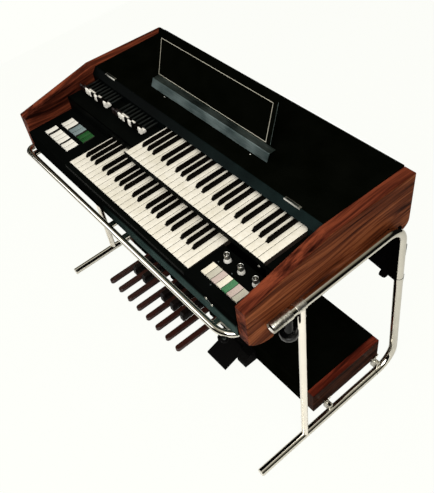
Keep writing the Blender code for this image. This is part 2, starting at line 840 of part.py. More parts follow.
def sweep(path, radius, sides=12):
    """Round tube body along a path that stays in one plane."""
    normal = Vector((0, 0, 0))
    for i in range(1, len(path) - 1):
        normal += (path[i] - path[i - 1]).cross(path[i + 1] - path[i])
    normal = normal.normalized() if normal.length > 1e-9 else Vector((1, 0, 0))
    rings = []
    for i, point in enumerate(path):
        first = path[max(i - 1, 0)]
        last = path[min(i + 1, len(path) - 1)]
        back = (point - first).normalized() if i > 0 else (last - point).normalized()
        ahead = (last - point).normalized() if i < len(path) - 1 else back
        tangent = (back + ahead).normalized()
        side = normal.cross(tangent).normalized()
        stretch = 1.0 / max(tangent.dot(ahead), 0.2)
        ring = []
        for k in range(sides):
            angle = 2 * math.pi * (k + 0.5) / sides
            ring.append(tuple(point + side * (radius * stretch * math.cos(angle))
                              + normal * (radius * math.sin(angle))))
        rings.append(ring)
    return loft(rings)


def mirrored(shape):
    """The same body on the other side of the console's middle plane."""
    verts, faces = shape
    return ([(2 * MID_X - v[0], v[1], v[2]) for v in verts], faces)


def frame_shapes():
    """Bodies of the right-hand side frame, main tube first."""
    x = FRAME_X
    corners = [(x, TUBE_FRONT, TUBE_Z), (x, LEG_TOP_Y, TUBE_Z), (x, LEG_FOOT_Y, FOOT_Z), (x, FOOT_FRONT, FOOT_Z)]
    main = sweep(fillet(corners, [UPPER_BEND, LOWER_BEND]), TUBE_R)
    inner = MID_X + INNER_HALF + CHEEK_T
    plate_low = CHEEK_NOTCH_Z - SEAT - BRACKET_T
    web_in = inner + SEAT
    web_out = web_in + BRACKET_T
    gusset = [(0.3850, TUBE_Z), (0.5200, TUBE_Z), (0.5440, -0.2900), (0.5280, -0.2900), (0.3850, -0.0620)]
    shapes = [
        round_bar("Y", x, TUBE_Z, SLEEVE_R, SLEEVE_Y0, SLEEVE_Y1),
        round_bar("Y", x, TUBE_Z, COLLAR_R, 0.1250, COLLAR_Y1),
        round_bar("Z", x, STRUT_Y, STRUT_R, FOOT_Z, TUBE_Z),
        prism(gusset, "X", x - GUSSET_T / 2, x + GUSSET_T / 2),
        prism([(web_in, TUBE_Z), (web_out, TUBE_Z), (web_out, plate_low), (BRACKET_IN, plate_low),
               (BRACKET_IN, plate_low + BRACKET_T), (web_in, plate_low + BRACKET_T)], "Y", 0.0800, 0.1600),
        prism([(web_in, TUBE_Z), (web_out, TUBE_Z), (web_out, plate_low), (BRACKET_IN, plate_low),
               (BRACKET_IN, plate_low + BRACKET_T), (web_in, plate_low + BRACKET_T)], "Y", 0.4300, 0.4900),
    ]
    for y in PEDAL_CLAMP_Y:
        shapes.append(box(PCHEEK_OUT + SEAT, x, y - PEDAL_CLAMP_HALF, y + PEDAL_CLAMP_HALF, FOOT_Z, PEDAL_CLAMP_TOP))
    return main, shapes


def stand_frame(name, flip):
    main, shapes = frame_shapes()
    sleeve_low = TUBE_Z - SLEEVE_R
    hole = round_bar("Z", CLAMP_X, CLAMP_Y, CLAMP_SHAFT_R + SEAT, sleeve_low - 0.01, sleeve_low + CLAMP_HOLE)
    if flip:
        main = mirrored(main)
        shapes = [mirrored(s) for s in shapes]
        hole = mirrored(hole)
    obj = place(name, main, CHROME)
    for shape in shapes:
        fuse(obj, [shape])
    cut(obj, [hole])
    return smooth(obj)


def front_crossbar():
    """Thinner tube across the front: it ends at the left cheek and is led back inside the right one."""
    z = CASE_BOTTOM - SEAT - CROSS_R
    right = CROSS_LEG_X
    left = 2 * MID_X - right
    tip = 2 * MID_X - CHEEK_OUT + CROSS_R + 0.0010
    slant = right - CROSS_SLANT_X
    corners = [(tip, CHEEK_FRONT - SEAT, z), (tip, CROSS_Y, z), (CROSS_SLANT_X, CROSS_Y, z),
               (right, CROSS_Y + slant, z), (right, CROSS_END, z)]
    obj = place("front_crossbar", sweep(fillet(corners, CROSS_BENDS), CROSS_R), CHROME)
    fuse(obj, [round_bar("Y", left, z, CROSS_R - 0.0004, CROSS_Y, CROSS_END)])
    for x in STUB_X:
        fuse(obj, [round_bar("Y", x, z, CROSS_R - 0.0004, CROSS_Y, STUB_END)])
    foot_top = CHEEK_NOTCH_Z
    for x in (left, right):
        fuse(obj, [box(x - 0.006, x + 0.006, 0.1250, 0.1550, foot_top, z)])
    return smooth(obj)


def clamp_knob(name, flip):
    """Round screw knob under the sleeve of the stand."""
    x = 2 * MID_X - CLAMP_X if flip else CLAMP_X
    under = TUBE_Z - SLEEVE_R - SEAT
    profile = [
        (CLAMP_SHAFT_R, under + CLAMP_HOLE - 0.0010),
        (CLAMP_SHAFT_R, under),
        (CLAMP_HUB_R, under),
        (CLAMP_HUB_R + 0.0006, CLAMP_DISC_TOP),
        (CLAMP_R - 0.0030, CLAMP_DISC_TOP),
        (CLAMP_R, CLAMP_DISC_TOP - 0.0040),
        (CLAMP_R, CLAMP_LOW + 0.0040),
        (CLAMP_R - 0.0040, CLAMP_LOW),
    ]
    return place(name, lathe(profile, (x, CLAMP_Y), 16), EBONY, (x, CLAMP_Y, under))


# Pedal unit


def pedal_centres():
    """Pedal name and middle, naturals first."""
    rows = []
    for i in range(8):
        rows.append(("pedal_natural_%d" % (i + 1), PEDAL_X0 + PEDAL_PITCH * i, False))
    for k, i in enumerate(PEDAL_SHARP_AFTER):
        rows.append(("pedal_sharp_%d" % (k + 1), PEDAL_X0 + PEDAL_PITCH * (i + 0.5), True))
    return rows


def pedal(name, x, raised):
    half = PEDAL_W / 2
    pivot = (x, PEDAL_PIVOT_Y, PEDAL_LOW)
    if not raised:
        tip = arc(x, PEDAL_TIP + half, half, 180.0, 360.0, 6)
        plan = tip + [(x + half, PEDAL_END), (x - half, PEDAL_END)]
        obj = place(name, prism(plan, "Z", PEDAL_LOW, PEDAL_TOP), BROWN, pivot)
    else:
        side = [
            (PEDAL_SHARP_Y0, PEDAL_LOW), (PEDAL_END, PEDAL_LOW), (PEDAL_END, PEDAL_TOP),
            (PEDAL_SHARP_Y1, PEDAL_TOP), (PEDAL_SHARP_Y1 - 0.002, PEDAL_SHARP_TOP),
            (PEDAL_SHARP_Y0 + 0.008, PEDAL_SHARP_TOP), (PEDAL_SHARP_Y0, PEDAL_SHARP_TOP - 0.008),
        ]
        obj = place(name, prism(side, "X", x - half, x + half), EBONY, pivot)
    soften(obj, 0.0020, 1, 60.0)
    return obj


def pedal_box():
    """Cover over the pedal hinges: one bent sheet with a slot for each pedal."""
    inner = PCHEEK_OUT - PCHEEK_T - SEAT
    left = 2 * MID_X - inner
    t = PBOX_T
    ridge = PEDAL_LOW - SEAT
    points = [
        (PBOX_FRONT, PBOX_LOW), (PBOX_FRONT, PBOX_TOP - 0.0030), (PBOX_FRONT + 0.0030, PBOX_TOP),
        (PBOX_REAR, PBOX_TOP), (PBOX_REAR, PBOX_LOW), (PBOX_FLOOR_Y, PBOX_LOW),
        (PBOX_FLOOR_Y, PBOX_LOW + t),
        (PEDAL_PIVOT_Y - PIVOT_HALF, PBOX_LOW + t), (PEDAL_PIVOT_Y - PIVOT_HALF, ridge),
        (PEDAL_PIVOT_Y + PIVOT_HALF, ridge), (PEDAL_PIVOT_Y + PIVOT_HALF, PBOX_LOW + t),
        (PBOX_REAR - t, PBOX_LOW + t), (PBOX_REAR - t, PBOX_TOP - t), (PBOX_FRONT + t, PBOX_TOP - t),
        (PBOX_FRONT + t, PBOX_LOW),
    ]
    obj = place("pedal_box", prism(points, "X", left, inner), BLACK_VINYL)
    half = PEDAL_W / 2 + PEDAL_SLOT_GAP
    slots = []
    for _name, x, _raised in pedal_centres():
        slots.append(box(x - half, x + half, PBOX_FRONT - 0.01, PBOX_FRONT + 0.02, PBOX_LOW - 0.01, PEDAL_SLOT_TOP))
    return cut(obj, slots)


def pedal_cheek(name, flip):
    outer = PCHEEK_OUT
    inner = outer - PCHEEK_T
    if flip:
        outer, inner = 2 * MID_X - outer, 2 * MID_X - inner
    shape = box(min(outer, inner), max(outer, inner), PBOX_FRONT, PBOX_REAR, PBOX_LOW, PBOX_TOP)
    obj = place(name, shape, WALNUT)
    soften(obj, 0.0020, 2, 50.0)
    return obj


def expression_base():
    """Housing of the foot pedal in front of the pedal box."""
    rear = PBOX_FRONT - SEAT
    left = TREADLE_X0 - SLACK
    right = TREADLE_X1 + SLACK
    cradle = TREADLE_AXIS_Z - TREADLE_BOSS_R - SEAT
    low = PBOX_LOW
    obj = place("expression_base", box(left - EBASE_LEFT_T, EBASE_RIGHT_X, 0.2060, rear, low, EBASE_TOP), EBONY)
    side = [(EBASE_FRONT, low), (rear, low), (rear, EBASE_TOP), (0.1850, EBASE_TOP), (EBASE_FRONT, -0.7250)]
    fuse(obj, [prism(side, "X", left - EBASE_LEFT_T, left)])
    fuse(obj, [prism(side, "X", right, EBASE_RIGHT_X)])
    fuse(obj, [box(left - 0.001, right + 0.001, TREADLE_AXIS_Y - 0.0040, rear, low, cradle)])
    return obj


def expression_treadle():
    """Sloping foot plate on its hinge boss."""
    slope = math.tan(TREADLE_LEAN)
    rise = TREADLE_AXIS_Z + TREADLE_BOSS_R
    reach = TREADLE_AXIS_Y - TREADLE_FRONT
    end = TREADLE_AXIS_Y + 0.0060
    top = [(TREADLE_FRONT, rise - reach * slope), (end, rise + 0.0060 * slope)]
    low = [(end, rise + 0.0060 * slope - TREADLE_T), (TREADLE_FRONT, rise - reach * slope - TREADLE_T)]
    plate = prism(top + low, "X", TREADLE_X0, TREADLE_X1)
    boss = round_bar("X", TREADLE_AXIS_Y, TREADLE_AXIS_Z, TREADLE_BOSS_R, TREADLE_X0, TREADLE_X1)
    pivot = ((TREADLE_X0 + TREADLE_X1) / 2, TREADLE_AXIS_Y, TREADLE_AXIS_Z)
    obj = place("expression_treadle", boss, EBONY, pivot)
    return fuse(obj, [plate])


def build():
    case_shell()
    cheek("left_cheek", LEFT_IN, LEFT_IN - CHEEK_T)
    cheek("right_cheek", RIGHT_IN, RIGHT_IN + CHEEK_T)
    top_panel()
    fallboard()
    front_panel()
    upper_panel()
    music_rest_panel()
    music_rest_ledge()
    naturals("lower_naturals", Vector((0, 0, 0)))
    sharps("lower_sharps", Vector((0, 0, 0)))
    naturals("upper_naturals", UPPER_SHIFT)
    sharps("upper_sharps", UPPER_SHIFT)
    for number, x in enumerate(drawbar_centres()):
        drawbar(number, x)
    for name, spans, ys in tab_rows():
        tab_row(name, spans, ys)
    for number, x in enumerate(KNOB_X):
        rotary_knob(number + 1, x)
    stand_frame("right_stand_frame", False)
    stand_frame("left_stand_frame", True)
    front_crossbar()
    clamp_knob("right_clamp_knob", False)
    clamp_knob("left_clamp_knob", True)
    pedal_box()
    pedal_cheek("pedal_left_cheek", True)
    pedal_cheek("pedal_right_cheek", False)
    for name, x, raised in pedal_centres():
        pedal(name, x, raised)
    expression_base()
    expression_treadle()


build()
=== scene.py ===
# %% [markdown]
# # Dressing a two-manual electronic organ
# The measured model of the organ is already packed as solids. This notebook loads those solids as a
# frame, keeps the ones whose shape is right, and puts finer surfaces over the ones that need softer
# edges: chromed tube, moulded keys, rocker tabs, drawbars and knobs. Loading comes first because every
# new piece has to ride on one of the bodies that the frame brings.

# %% Load the frame
import math

import bpy
import numpy as np
from mathutils import Euler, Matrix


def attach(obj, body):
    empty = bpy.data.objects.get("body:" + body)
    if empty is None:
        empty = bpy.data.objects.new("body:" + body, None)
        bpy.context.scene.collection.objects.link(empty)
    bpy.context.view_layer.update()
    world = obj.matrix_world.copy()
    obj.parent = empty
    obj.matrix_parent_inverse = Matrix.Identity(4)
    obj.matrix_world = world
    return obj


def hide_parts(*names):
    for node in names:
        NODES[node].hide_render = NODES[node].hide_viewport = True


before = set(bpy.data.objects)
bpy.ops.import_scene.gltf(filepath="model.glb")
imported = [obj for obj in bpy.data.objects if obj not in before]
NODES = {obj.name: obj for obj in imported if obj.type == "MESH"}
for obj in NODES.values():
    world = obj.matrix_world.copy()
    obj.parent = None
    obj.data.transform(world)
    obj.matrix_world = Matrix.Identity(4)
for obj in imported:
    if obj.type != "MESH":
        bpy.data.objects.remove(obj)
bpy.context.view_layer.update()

# %% [markdown]
# The camera stands where the photo was taken from: in front of the organ, towards its treble end and well
# above it, and it is rolled slightly. Lengths are metres, angles are degrees.

# %% Camera
LENS_MM = 46.8
SENSOR_MM = 36.0
LENS_SHIFT = (0.0207, -0.0067)
NEAR_CLIP = 0.05
CAMERA_PLACE = (1.277600, -0.773116, 2.037664)
CAMERA_TURN = (41.9334, 7.2275, 50.9672)

lens = bpy.data.cameras.new("camera")
lens.lens = LENS_MM
lens.sensor_width = SENSOR_MM
lens.shift_x, lens.shift_y = LENS_SHIFT
lens.clip_start = NEAR_CLIP
camera = bpy.data.objects.new("camera", lens)
camera.location = CAMERA_PLACE
camera.rotation_euler = Euler([math.radians(a) for a in CAMERA_TURN], "XYZ")
bpy.context.scene.collection.objects.link(camera)
bpy.context.scene.camera = camera
bpy.context.scene.view_settings.view_transform = "Standard"
print("camera", tuple(round(v, 3) for v in camera.location))

# %% [markdown]
# A material is a small graph of nodes. Helpers keep the graphs readable: one turns the sRGB hex code of
# a colour into the linear numbers that the renderer works with, one adds a node with its settings and
# links in a single call, one makes a colour ramp, and one lets a second colour take over part of a piece.

# %% Colour and node helpers


def linear(code):
    """sRGB hex to linear: below 0.04045 divide by 12.92, above it ((c + 0.055) / 1.055) to the power 2.4."""
    c = np.array([int(code[i:i + 2], 16) for i in (1, 3, 5)]) / 255.0
    c = np.where(c <= 0.04045, c / 12.92, ((c + 0.055) / 1.055) ** 2.4)
    return (*c.tolist(), 1.0)


def add(tree, kind, inputs=None, **settings):
    """Adds one node. settings are its properties; inputs are values, or sockets to link."""
    made = tree.nodes.new(kind)
    for key, value in settings.items():
        setattr(made, key, value)
    for key, value in (inputs or {}).items():
        if isinstance(value, bpy.types.NodeSocket):
            tree.links.new(value, made.inputs[key])
        else:
            made.inputs[key].default_value = value
    return made


def ramp(tree, factor, stops):
    """Colour ramp through (position, hex) stops."""
    made = add(tree, "ShaderNodeValToRGB", {0: factor})
    bar = made.color_ramp
    while len(bar.elements) < len(stops):
        bar.elements.new(0.5)
    for element, (place, code) in zip(bar.elements, stops):
        element.position = place
        element.color = linear(code)
    return made.outputs["Color"]


def blend(tree, where, colour, other, fades):
    """Mixes in the other colour by the product of the fades, each running from 0 to 1 along one axis.

    A fade is an axis and the two frame coordinates where its run starts and stops.
    """
    place = add(tree, "ShaderNodeSeparateXYZ", {0: where})
    share = 1.0
    for axis, start, stop in fades:
        run = add(tree, "ShaderNodeMapRange",
                  {"Value": place.outputs[axis], "From Min": start, "From Max": stop}).outputs["Result"]
        share = add(tree, "ShaderNodeMath", {0: share, 1: run}, operation="MULTIPLY").outputs[0]
    return add(tree, "ShaderNodeMix", {0: share, 6: colour, 7: other}, data_type="RGBA").outputs[2]


print("white is", linear("#ffffff"))

# %% [markdown]
# Most finishes here share one recipe: a pattern laid on Object coordinates, so its scale is in real
# millimetres, that varies colour, roughness and height together. A slow cloud is added to the pattern,
# because no moulded or painted surface is quite even from one hand's width to the next.

# %% Shared finish recipe
CLOUDS_PER_METRE = 14.0
PATTERN_SPAN = (0.3, 0.7)
RELIEF_STRENGTH = 0.6


def finish(name, stops, grain_mm, rough, bump_mm, stretch=(1, 1, 1), metallic=0.0, ior=1.5, level=0.5,
           cells=False, second=None, fades=()):
    """Finish from a noise or cell pattern whose features are grain_mm wide.

    The colour follows the mean of pattern and cloud through the stops. rough is the (lowest, highest)
    roughness, bump_mm the height of the pattern and level the strength of the mirror reflection.
    stretch divides the pattern's scale along an axis, so 10 makes features ten times as long there.
    second is another pair of stops, which takes over by the product of the fades.
    """
    mat = bpy.data.materials.new(name)
    mat.use_nodes = True
    tree = mat.node_tree
    shader = tree.nodes["Principled BSDF"]
    shader.inputs["Metallic"].default_value = metallic
    shader.inputs["IOR"].default_value = ior
    shader.inputs["Specular IOR Level"].default_value = level
    where = add(tree, "ShaderNodeTexCoord").outputs["Object"]
    scale = tuple(1000.0 / grain_mm / s for s in stretch)
    spread = add(tree, "ShaderNodeMapping", {"Vector": where, "Scale": scale}).outputs["Vector"]
    if cells:
        made = add(tree, "ShaderNodeTexVoronoi", {"Vector": spread, "Scale": 1.0}, feature="SMOOTH_F1")
        fine = made.outputs["Distance"]
    else:
        made = add(tree, "ShaderNodeTexNoise", {"Vector": spread, "Scale": 1.0, "Detail": 4.0})
        fine = made.outputs["Fac"]
    cloud = add(tree, "ShaderNodeTexNoise", {"Vector": where, "Scale": CLOUDS_PER_METRE, "Detail": 3.0})
    both = add(tree, "ShaderNodeMath", {0: fine, 1: cloud.outputs["Fac"]}, operation="ADD").outputs[0]
    half = add(tree, "ShaderNodeMath", {0: both, 1: 0.5}, operation="MULTIPLY").outputs[0]
    colour = ramp(tree, half, stops)
    if second:
        colour = blend(tree, where, colour, ramp(tree, half, second), fades)
    tree.links.new(colour, shader.inputs["Base Color"])
    gloss = add(tree, "ShaderNodeMapRange",
                {"Value": half, "From Min": PATTERN_SPAN[0], "From Max": PATTERN_SPAN[1],
                 "To Min": rough[0], "To Max": rough[1]})
    tree.links.new(gloss.outputs["Result"], shader.inputs["Roughness"])
    relief = add(tree, "ShaderNodeBump",
                 {"Height": fine, "Strength": RELIEF_STRENGTH, "Distance": bump_mm / 1000.0})
    tree.links.new(relief.outputs["Normal"], shader.inputs["Normal"])
    return mat


print("recipe ready, clouds", round(1000.0 / CLOUDS_PER_METRE), "mm wide")

# %% [markdown]
# The two end cheeks and the cheeks of the pedal box are red-brown walnut veneer under satin lacquer.
# Veneer is sliced lengthwise, so the figure runs along the cheek: broad bands of light and dark, narrow
# dark streaks inside them, and fine pores. Each is a noise stretched along Y, and a slow sideways warp
# keeps the lines from being ruled. Real pores are 0.2 mm wide and are drawn at 0.8 mm to show.

# %% Veneer figure
FIGURE_LAYERS = ((34.0, 14.0), (9.0, 40.0), (3.0, 60.0))
FIGURE_SHARES = (0.46, 0.36, 0.18)
FIGURE_STOPS = (0.39, 0.50, 0.61)
PORES = (0.8, 30.0)
PORE_EDGE = (0.30, 0.42)
PORE_SHADE = 0.60
PORE_DEPTH = 0.0003
PORE_STRENGTH = 0.35
LACQUER_SPAN = (0.38, 0.60)
LACQUER_ROUGH = (0.34, 0.46)
WARP_SCALE = (7.0, 2.6, 7.0)
WARP_REACH = (0.05, 0.0, 0.07)


def stretched_noise(tree, where, width_mm, longer):
    """Noise whose features are width_mm across the cheek and that many times longer along it."""
    scale = (1000 / width_mm, 1000 / width_mm / longer, 1000 / width_mm)
    placed = add(tree, "ShaderNodeMapping", {"Vector": where, "Scale": scale}).outputs["Vector"]
    return add(tree, "ShaderNodeTexNoise",
               {"Vector": placed, "Scale": 1.0, "Detail": 2.0, "Roughness": 0.5}).outputs["Fac"]


def walnut(name, stops, second=None, fades=()):
    """Figure is the sum of three stretched noises times their shares, darkened where a pore falls.

    The lacquer is a little smoother over the light bands. stops are the dark, middle and light colour;
    second are three more that take over by the product of the fades.
    """
    mat = bpy.data.materials.new(name)
    mat.use_nodes = True
    tree = mat.node_tree
    shader = tree.nodes["Principled BSDF"]
    shader.inputs["IOR"].default_value = 1.5
    shader.inputs["Specular IOR Level"].default_value = 0.01
    where = add(tree, "ShaderNodeTexCoord").outputs["Object"]
    slow = add(tree, "ShaderNodeMapping", {"Vector": where, "Scale": WARP_SCALE}).outputs["Vector"]
    warp = add(tree, "ShaderNodeTexNoise", {"Vector": slow, "Scale": 1.0, "Detail": 1.0}).outputs["Color"]
    shift = add(tree, "ShaderNodeVectorMath", {0: warp, 1: WARP_REACH}, operation="MULTIPLY")
    bent = add(tree, "ShaderNodeVectorMath", {0: where, 1: shift.outputs[0]}, operation="ADD").outputs[0]
    figure = None
    for layer, share in zip(FIGURE_LAYERS, FIGURE_SHARES):
        part = add(tree, "ShaderNodeMath", {0: stretched_noise(tree, bent, *layer), 1: share},
                   operation="MULTIPLY").outputs[0]
        figure = part if figure is None else add(tree, "ShaderNodeMath", {0: figure, 1: part}).outputs[0]
    pore = stretched_noise(tree, bent, *PORES)
    colour = ramp(tree, figure, list(zip(FIGURE_STOPS, stops)))
    if second:
        colour = blend(tree, where, colour, ramp(tree, figure, list(zip(FIGURE_STOPS, second))), fades)
    darker = add(tree, "ShaderNodeMapRange",
                 {"Value": pore, "From Min": PORE_EDGE[0], "From Max": PORE_EDGE[1],
                  "To Min": PORE_SHADE, "To Max": 1.0}).outputs["Result"]
    mixed = add(tree, "ShaderNodeMix", {0: 1.0, 6: colour, 7: darker},
                data_type="RGBA", blend_type="MULTIPLY")
    tree.links.new(mixed.outputs[2], shader.inputs["Base Color"])
    gloss = add(tree, "ShaderNodeMapRange",
                {"Value": figure, "From Min": LACQUER_SPAN[0], "From Max": LACQUER_SPAN[1],
                 "To Min": LACQUER_ROUGH[1], "To Max": LACQUER_ROUGH[0]}).outputs["Result"]
    tree.links.new(gloss, shader.inputs["Roughness"])
    relief = add(tree, "ShaderNodeBump", {"Height": pore, "Strength": PORE_STRENGTH, "Distance": PORE_DEPTH})
    tree.links.new(relief.outputs["Normal"], shader.inputs["Normal"])
    return mat


print("figure layers", len(FIGURE_LAYERS))

# %% [markdown]
# The console's cheeks are brown on their outer face and redder on the edges and inside. The pedal box has
# darker stained cheeks, redder and lighter on top; the extra lightness of the top is painted light from
# above. Each change is a fade over about a millimetre, just inside the face that it belongs to, so the
# colour turns at the edge of the board.

# %% Walnut veneers
CHEEK_OUT = 0.56835
PEDAL_TOP = 0.129264
EDGE_FADE = (0.0016, 0.0004)
TOP_FADE = (0.0020, 0.0006)
BROWN_WOOD = ("#220d06", "#602f19", "#925330")
RED_WOOD = ("#190704", "#4b2014", "#7b3b25")
STAINED_WOOD = ("#120805", "#2a160e", "#45261a")
# top of the pedal cheeks: redder, and lighter by painted light from above
STAINED_LIT_TOP = ("#1c0805", "#4a190f", "#76301f")

WALNUT = walnut("lacquered_walnut_veneer_right", RED_WOOD, BROWN_WOOD,
                (("X", CHEEK_OUT - EDGE_FADE[0], CHEEK_OUT - EDGE_FADE[1]),))
WALNUT_LEFT = walnut("lacquered_walnut_veneer_left", RED_WOOD, BROWN_WOOD,
                     (("X", EDGE_FADE[0] - CHEEK_OUT, EDGE_FADE[1] - CHEEK_OUT),))
WALNUT_DARK = walnut("stained_walnut_veneer", STAINED_WOOD, STAINED_LIT_TOP,
                     (("Z", PEDAL_TOP - TOP_FADE[0], PEDAL_TOP - TOP_FADE[1]),))
print("veneers", WALNUT.name, WALNUT_LEFT.name, WALNUT_DARK.name)

# %% [markdown]
# The black parts are not one black. The top is vinyl cloth glued on board, matt with a pebble of about
# a millimetre. The panels around the keys are stoved enamel on steel, smooth; on some, a grey-green sheen
# towards the treble end is painted into the colour. Housings are moulded ABS, and the treadle is ribbed
# rubber. The white floor lies all round the organ, so the mirror level of most blacks is near nothing:
# otherwise a grey haze would lie on every upright face.

# %% Black finishes
# pebbled cloth that drinks the light
VINYL = finish("embossed_vinyl_cloth", ((0.3, "#020301"), (0.7, "#080906")), grain_mm=1.2, rough=(0.60, 0.75),
               bump_mm=0.12, level=0.0, cells=True)
# smooth enamel around the keys, deep black
ENAMEL = finish("stoved_black_enamel", ((0.3, "#040504"), (0.7, "#080a08")), grain_mm=0.6, rough=(0.38, 0.48),
                bump_mm=0.01, level=0.01)
# the front plate: black at the key slip; the blue-grey lower down and towards the treble end is a painted
# sheen, the floor's reflection in the enamel
FRONT_PAINTED_SHEEN = finish("enamel_plate_painted_sheen", ((0.3, "#040504"), (0.7, "#080908")), grain_mm=0.6,
               rough=(0.38, 0.48), bump_mm=0.01, level=0.0, second=((0.34, "#17292a"), (0.66, "#44544f")),
               fades=(("Z", 0.7520, 0.7380), ("X", -0.0900, 0.1800)))
# the sloped strip behind the keys: black at the bass end; the grey-green at the treble end is a painted sheen
SHEEN = finish("enamel_painted_sheen", ((0.3, "#020303"), (0.7, "#060908")), grain_mm=0.6, rough=(0.30, 0.42),
               bump_mm=0.01, level=0.01, second=((0.34, "#080f0f"), (0.66, "#182423")),
               fades=(("X", -0.2000, 0.5000),))
# satin lacquer of the music rest, black from every side
REST = finish("satin_black_lacquer", ((0.3, "#020301"), (0.7, "#070805")), grain_mm=0.8, rough=(0.40, 0.50),
              bump_mm=0.01, level=0.0)
# glossy mouldings whose round rims catch the light
ABS = finish("moulded_black_abs", ((0.3, "#030303"), (0.7, "#080808")), grain_mm=0.7, rough=(0.16, 0.28),
             bump_mm=0.02, ior=1.53, level=0.25)
# tread of the foot pedal, dull, with ribs across it
RUBBER = finish("moulded_rubber", ((0.3, "#030303"), (0.7, "#0b0a09")), grain_mm=3.0, rough=(0.60, 0.75),
                bump_mm=0.4, stretch=(60, 1, 1), level=0.03)
# webs, brackets and the case shell, a flat black without reflections
IRON = finish("black_japanned_steel", ((0.3, "#020202"), (0.7, "#060505")), grain_mm=1.0, rough=(0.40, 0.55),
              bump_mm=0.02, level=0.0)
print("materials so far", len(bpy.data.materials))

# %% [markdown]
# The metals run from bright chrome plate, faintly cloudy with age, to brushed anodised aluminium on the
# music ledge, whose brush marks run along its length. A metal's colour is its reflection, so these keep
# the default index of refraction and differ by tint and roughness. Real brush marks are about 0.1 mm
# wide and are drawn at 0.9 mm to show.

# %% Metals
# long tubes: a mirror with a slightly warm, cloudy tint
CHROME = finish("chrome_plated_steel", ((0.3, "#c9c5ba"), (0.7, "#dbd7cc")), grain_mm=3.0, rough=(0.04, 0.10),
                bump_mm=0.01, metallic=1.0)
# the struts' chrome, whiter than the tubes: painted light, for the brighter floor that the struts mirror
STRUT_LIT_CHROME = finish("chrome_painted_brighter", ((0.3, "#f0e9dd"), (0.7, "#fbf5ea")), grain_mm=3.0, rough=(0.05, 0.12),
                bump_mm=0.01, metallic=1.0)
# plating of the sleeves and collars, worn and wavy, so it breaks the light up
WORN = finish("worn_chrome_plate", ((0.38, "#8d897b"), (0.62, "#fbf8ee")), grain_mm=3.5, rough=(0.26, 0.40),
              bump_mm=0.30, metallic=1.0)
# fluted shells of the knobs, a soft silver grey
NICKEL = finish("satin_nickel", ((0.3, "#b9b7af"), (0.7, "#efede4")), grain_mm=2.2, rough=(0.28, 0.46),
                bump_mm=0.10, metallic=1.0)
# skirts of the knobs, painted, so they stay pale in shade
FROSTED = finish("frosted_aluminium_paint", ((0.3, "#a9a69c"), (0.7, "#e9e6dd")), grain_mm=1.5,
                 rough=(0.35, 0.50), bump_mm=0.05)
# ledge of the music rest, blue-grey with long brush marks
BRUSHED = finish("brushed_anodised_aluminium", ((0.36, "#435250"), (0.64, "#84928f")), grain_mm=0.9,
                 rough=(0.30, 0.46), bump_mm=0.02, stretch=(60, 1, 1), metallic=1.0)
# small discs and pegs with a clean lathe-cut shine
TURNED = finish("turned_aluminium", ((0.3, "#b9b8b0"), (0.7, "#dedcd2")), grain_mm=0.4, rough=(0.18, 0.30),
                bump_mm=0.01, metallic=1.0)
# bolts, rods and catches, a duller grey
STEEL = finish("zinc_plated_steel", ((0.3, "#77766f"), (0.7, "#a3a198")), grain_mm=2.0, rough=(0.30, 0.42),
               bump_mm=0.02, metallic=1.0)
# drawbar strips, dark with a faint lengthwise shine
DULL = finish("blackened_steel_strip", ((0.3, "#2c3131"), (0.7, "#565c5a")), grain_mm=0.8, rough=(0.30, 0.45),
              bump_mm=0.02, stretch=(1, 20, 1), metallic=1.0)
print("materials so far", len(bpy.data.materials))

# %% [markdown]
# The playing parts are moulded thermoplastic: acrylic-white naturals, near-black sharps with a soft
# gloss, white, cream, grey-blue and green rocker tabs, and white, chocolate and black drawbar tips. Old
# white plastic is never quite even, so each has a slight cloud of warmth in it.

# %% Key plastics
# warm white with a low gloss
IVORY = finish("moulded_white_acrylic", ((0.34, "#dbd4c1"), (0.66, "#ece6d8")), grain_mm=9.0,
               rough=(0.16, 0.26), bump_mm=0.01, ior=1.49, level=0.3)
# key flanks, dark brown: painted shade in the joints between the keys, so they read as dark lines
FLANK_SHADE = finish("key_flank_painted_shade", ((0.3, "#241e19"), (0.7, "#3a322b")), grain_mm=2.0, rough=(0.60, 0.80),
               bump_mm=0.02, level=0.2)
# black of the sharps, with only a trace of gloss along their rounded edges
EBONY = finish("moulded_black_phenolic", ((0.3, "#030201"), (0.7, "#080604")), grain_mm=1.5,
               rough=(0.24, 0.36), bump_mm=0.02, level=0.03)
print("materials so far", len(bpy.data.materials))

# %% [markdown]
# The tabs and drawbar tips are one family: coloured ABS with a moulded gloss. Only the colour and a
# little roughness change, so a table of hex codes makes them all.

# %% Tab and tip plastics


def coloured_abs(name, dark, light, rough=(0.22, 0.32), grain_mm=3.0, stops=(0.3, 0.7)):
    """Gloss ABS between two close shades of one colour."""
    return finish(name, ((stops[0], dark), (stops[1], light)), grain_mm, rough, bump_mm=0.01, ior=1.53)


WHITE = coloured_abs("white_abs", "#e6e1d4", "#f3efe4")
CREAM = coloured_abs("cream_abs", "#ddd4be", "#ebe4d0")
BEIGE = coloured_abs("grey_beige_abs", "#a9a492", "#c4bfae", (0.24, 0.34))
PINK = coloured_abs("grey_pink_abs", "#b3a095", "#cbbab0", (0.24, 0.34))
BLUE = coloured_abs("grey_blue_abs", "#5f7072", "#8f9d9a", stops=(0.35, 0.65))
GREEN = coloured_abs("bottle_green_abs", "#0e3714", "#245a2b", stops=(0.35, 0.65))
LEAF = coloured_abs("leaf_green_abs", "#2f6340", "#558a60")
BROWN = coloured_abs("chocolate_abs", "#0e0504", "#180a07", (0.25, 0.36), grain_mm=2.0)
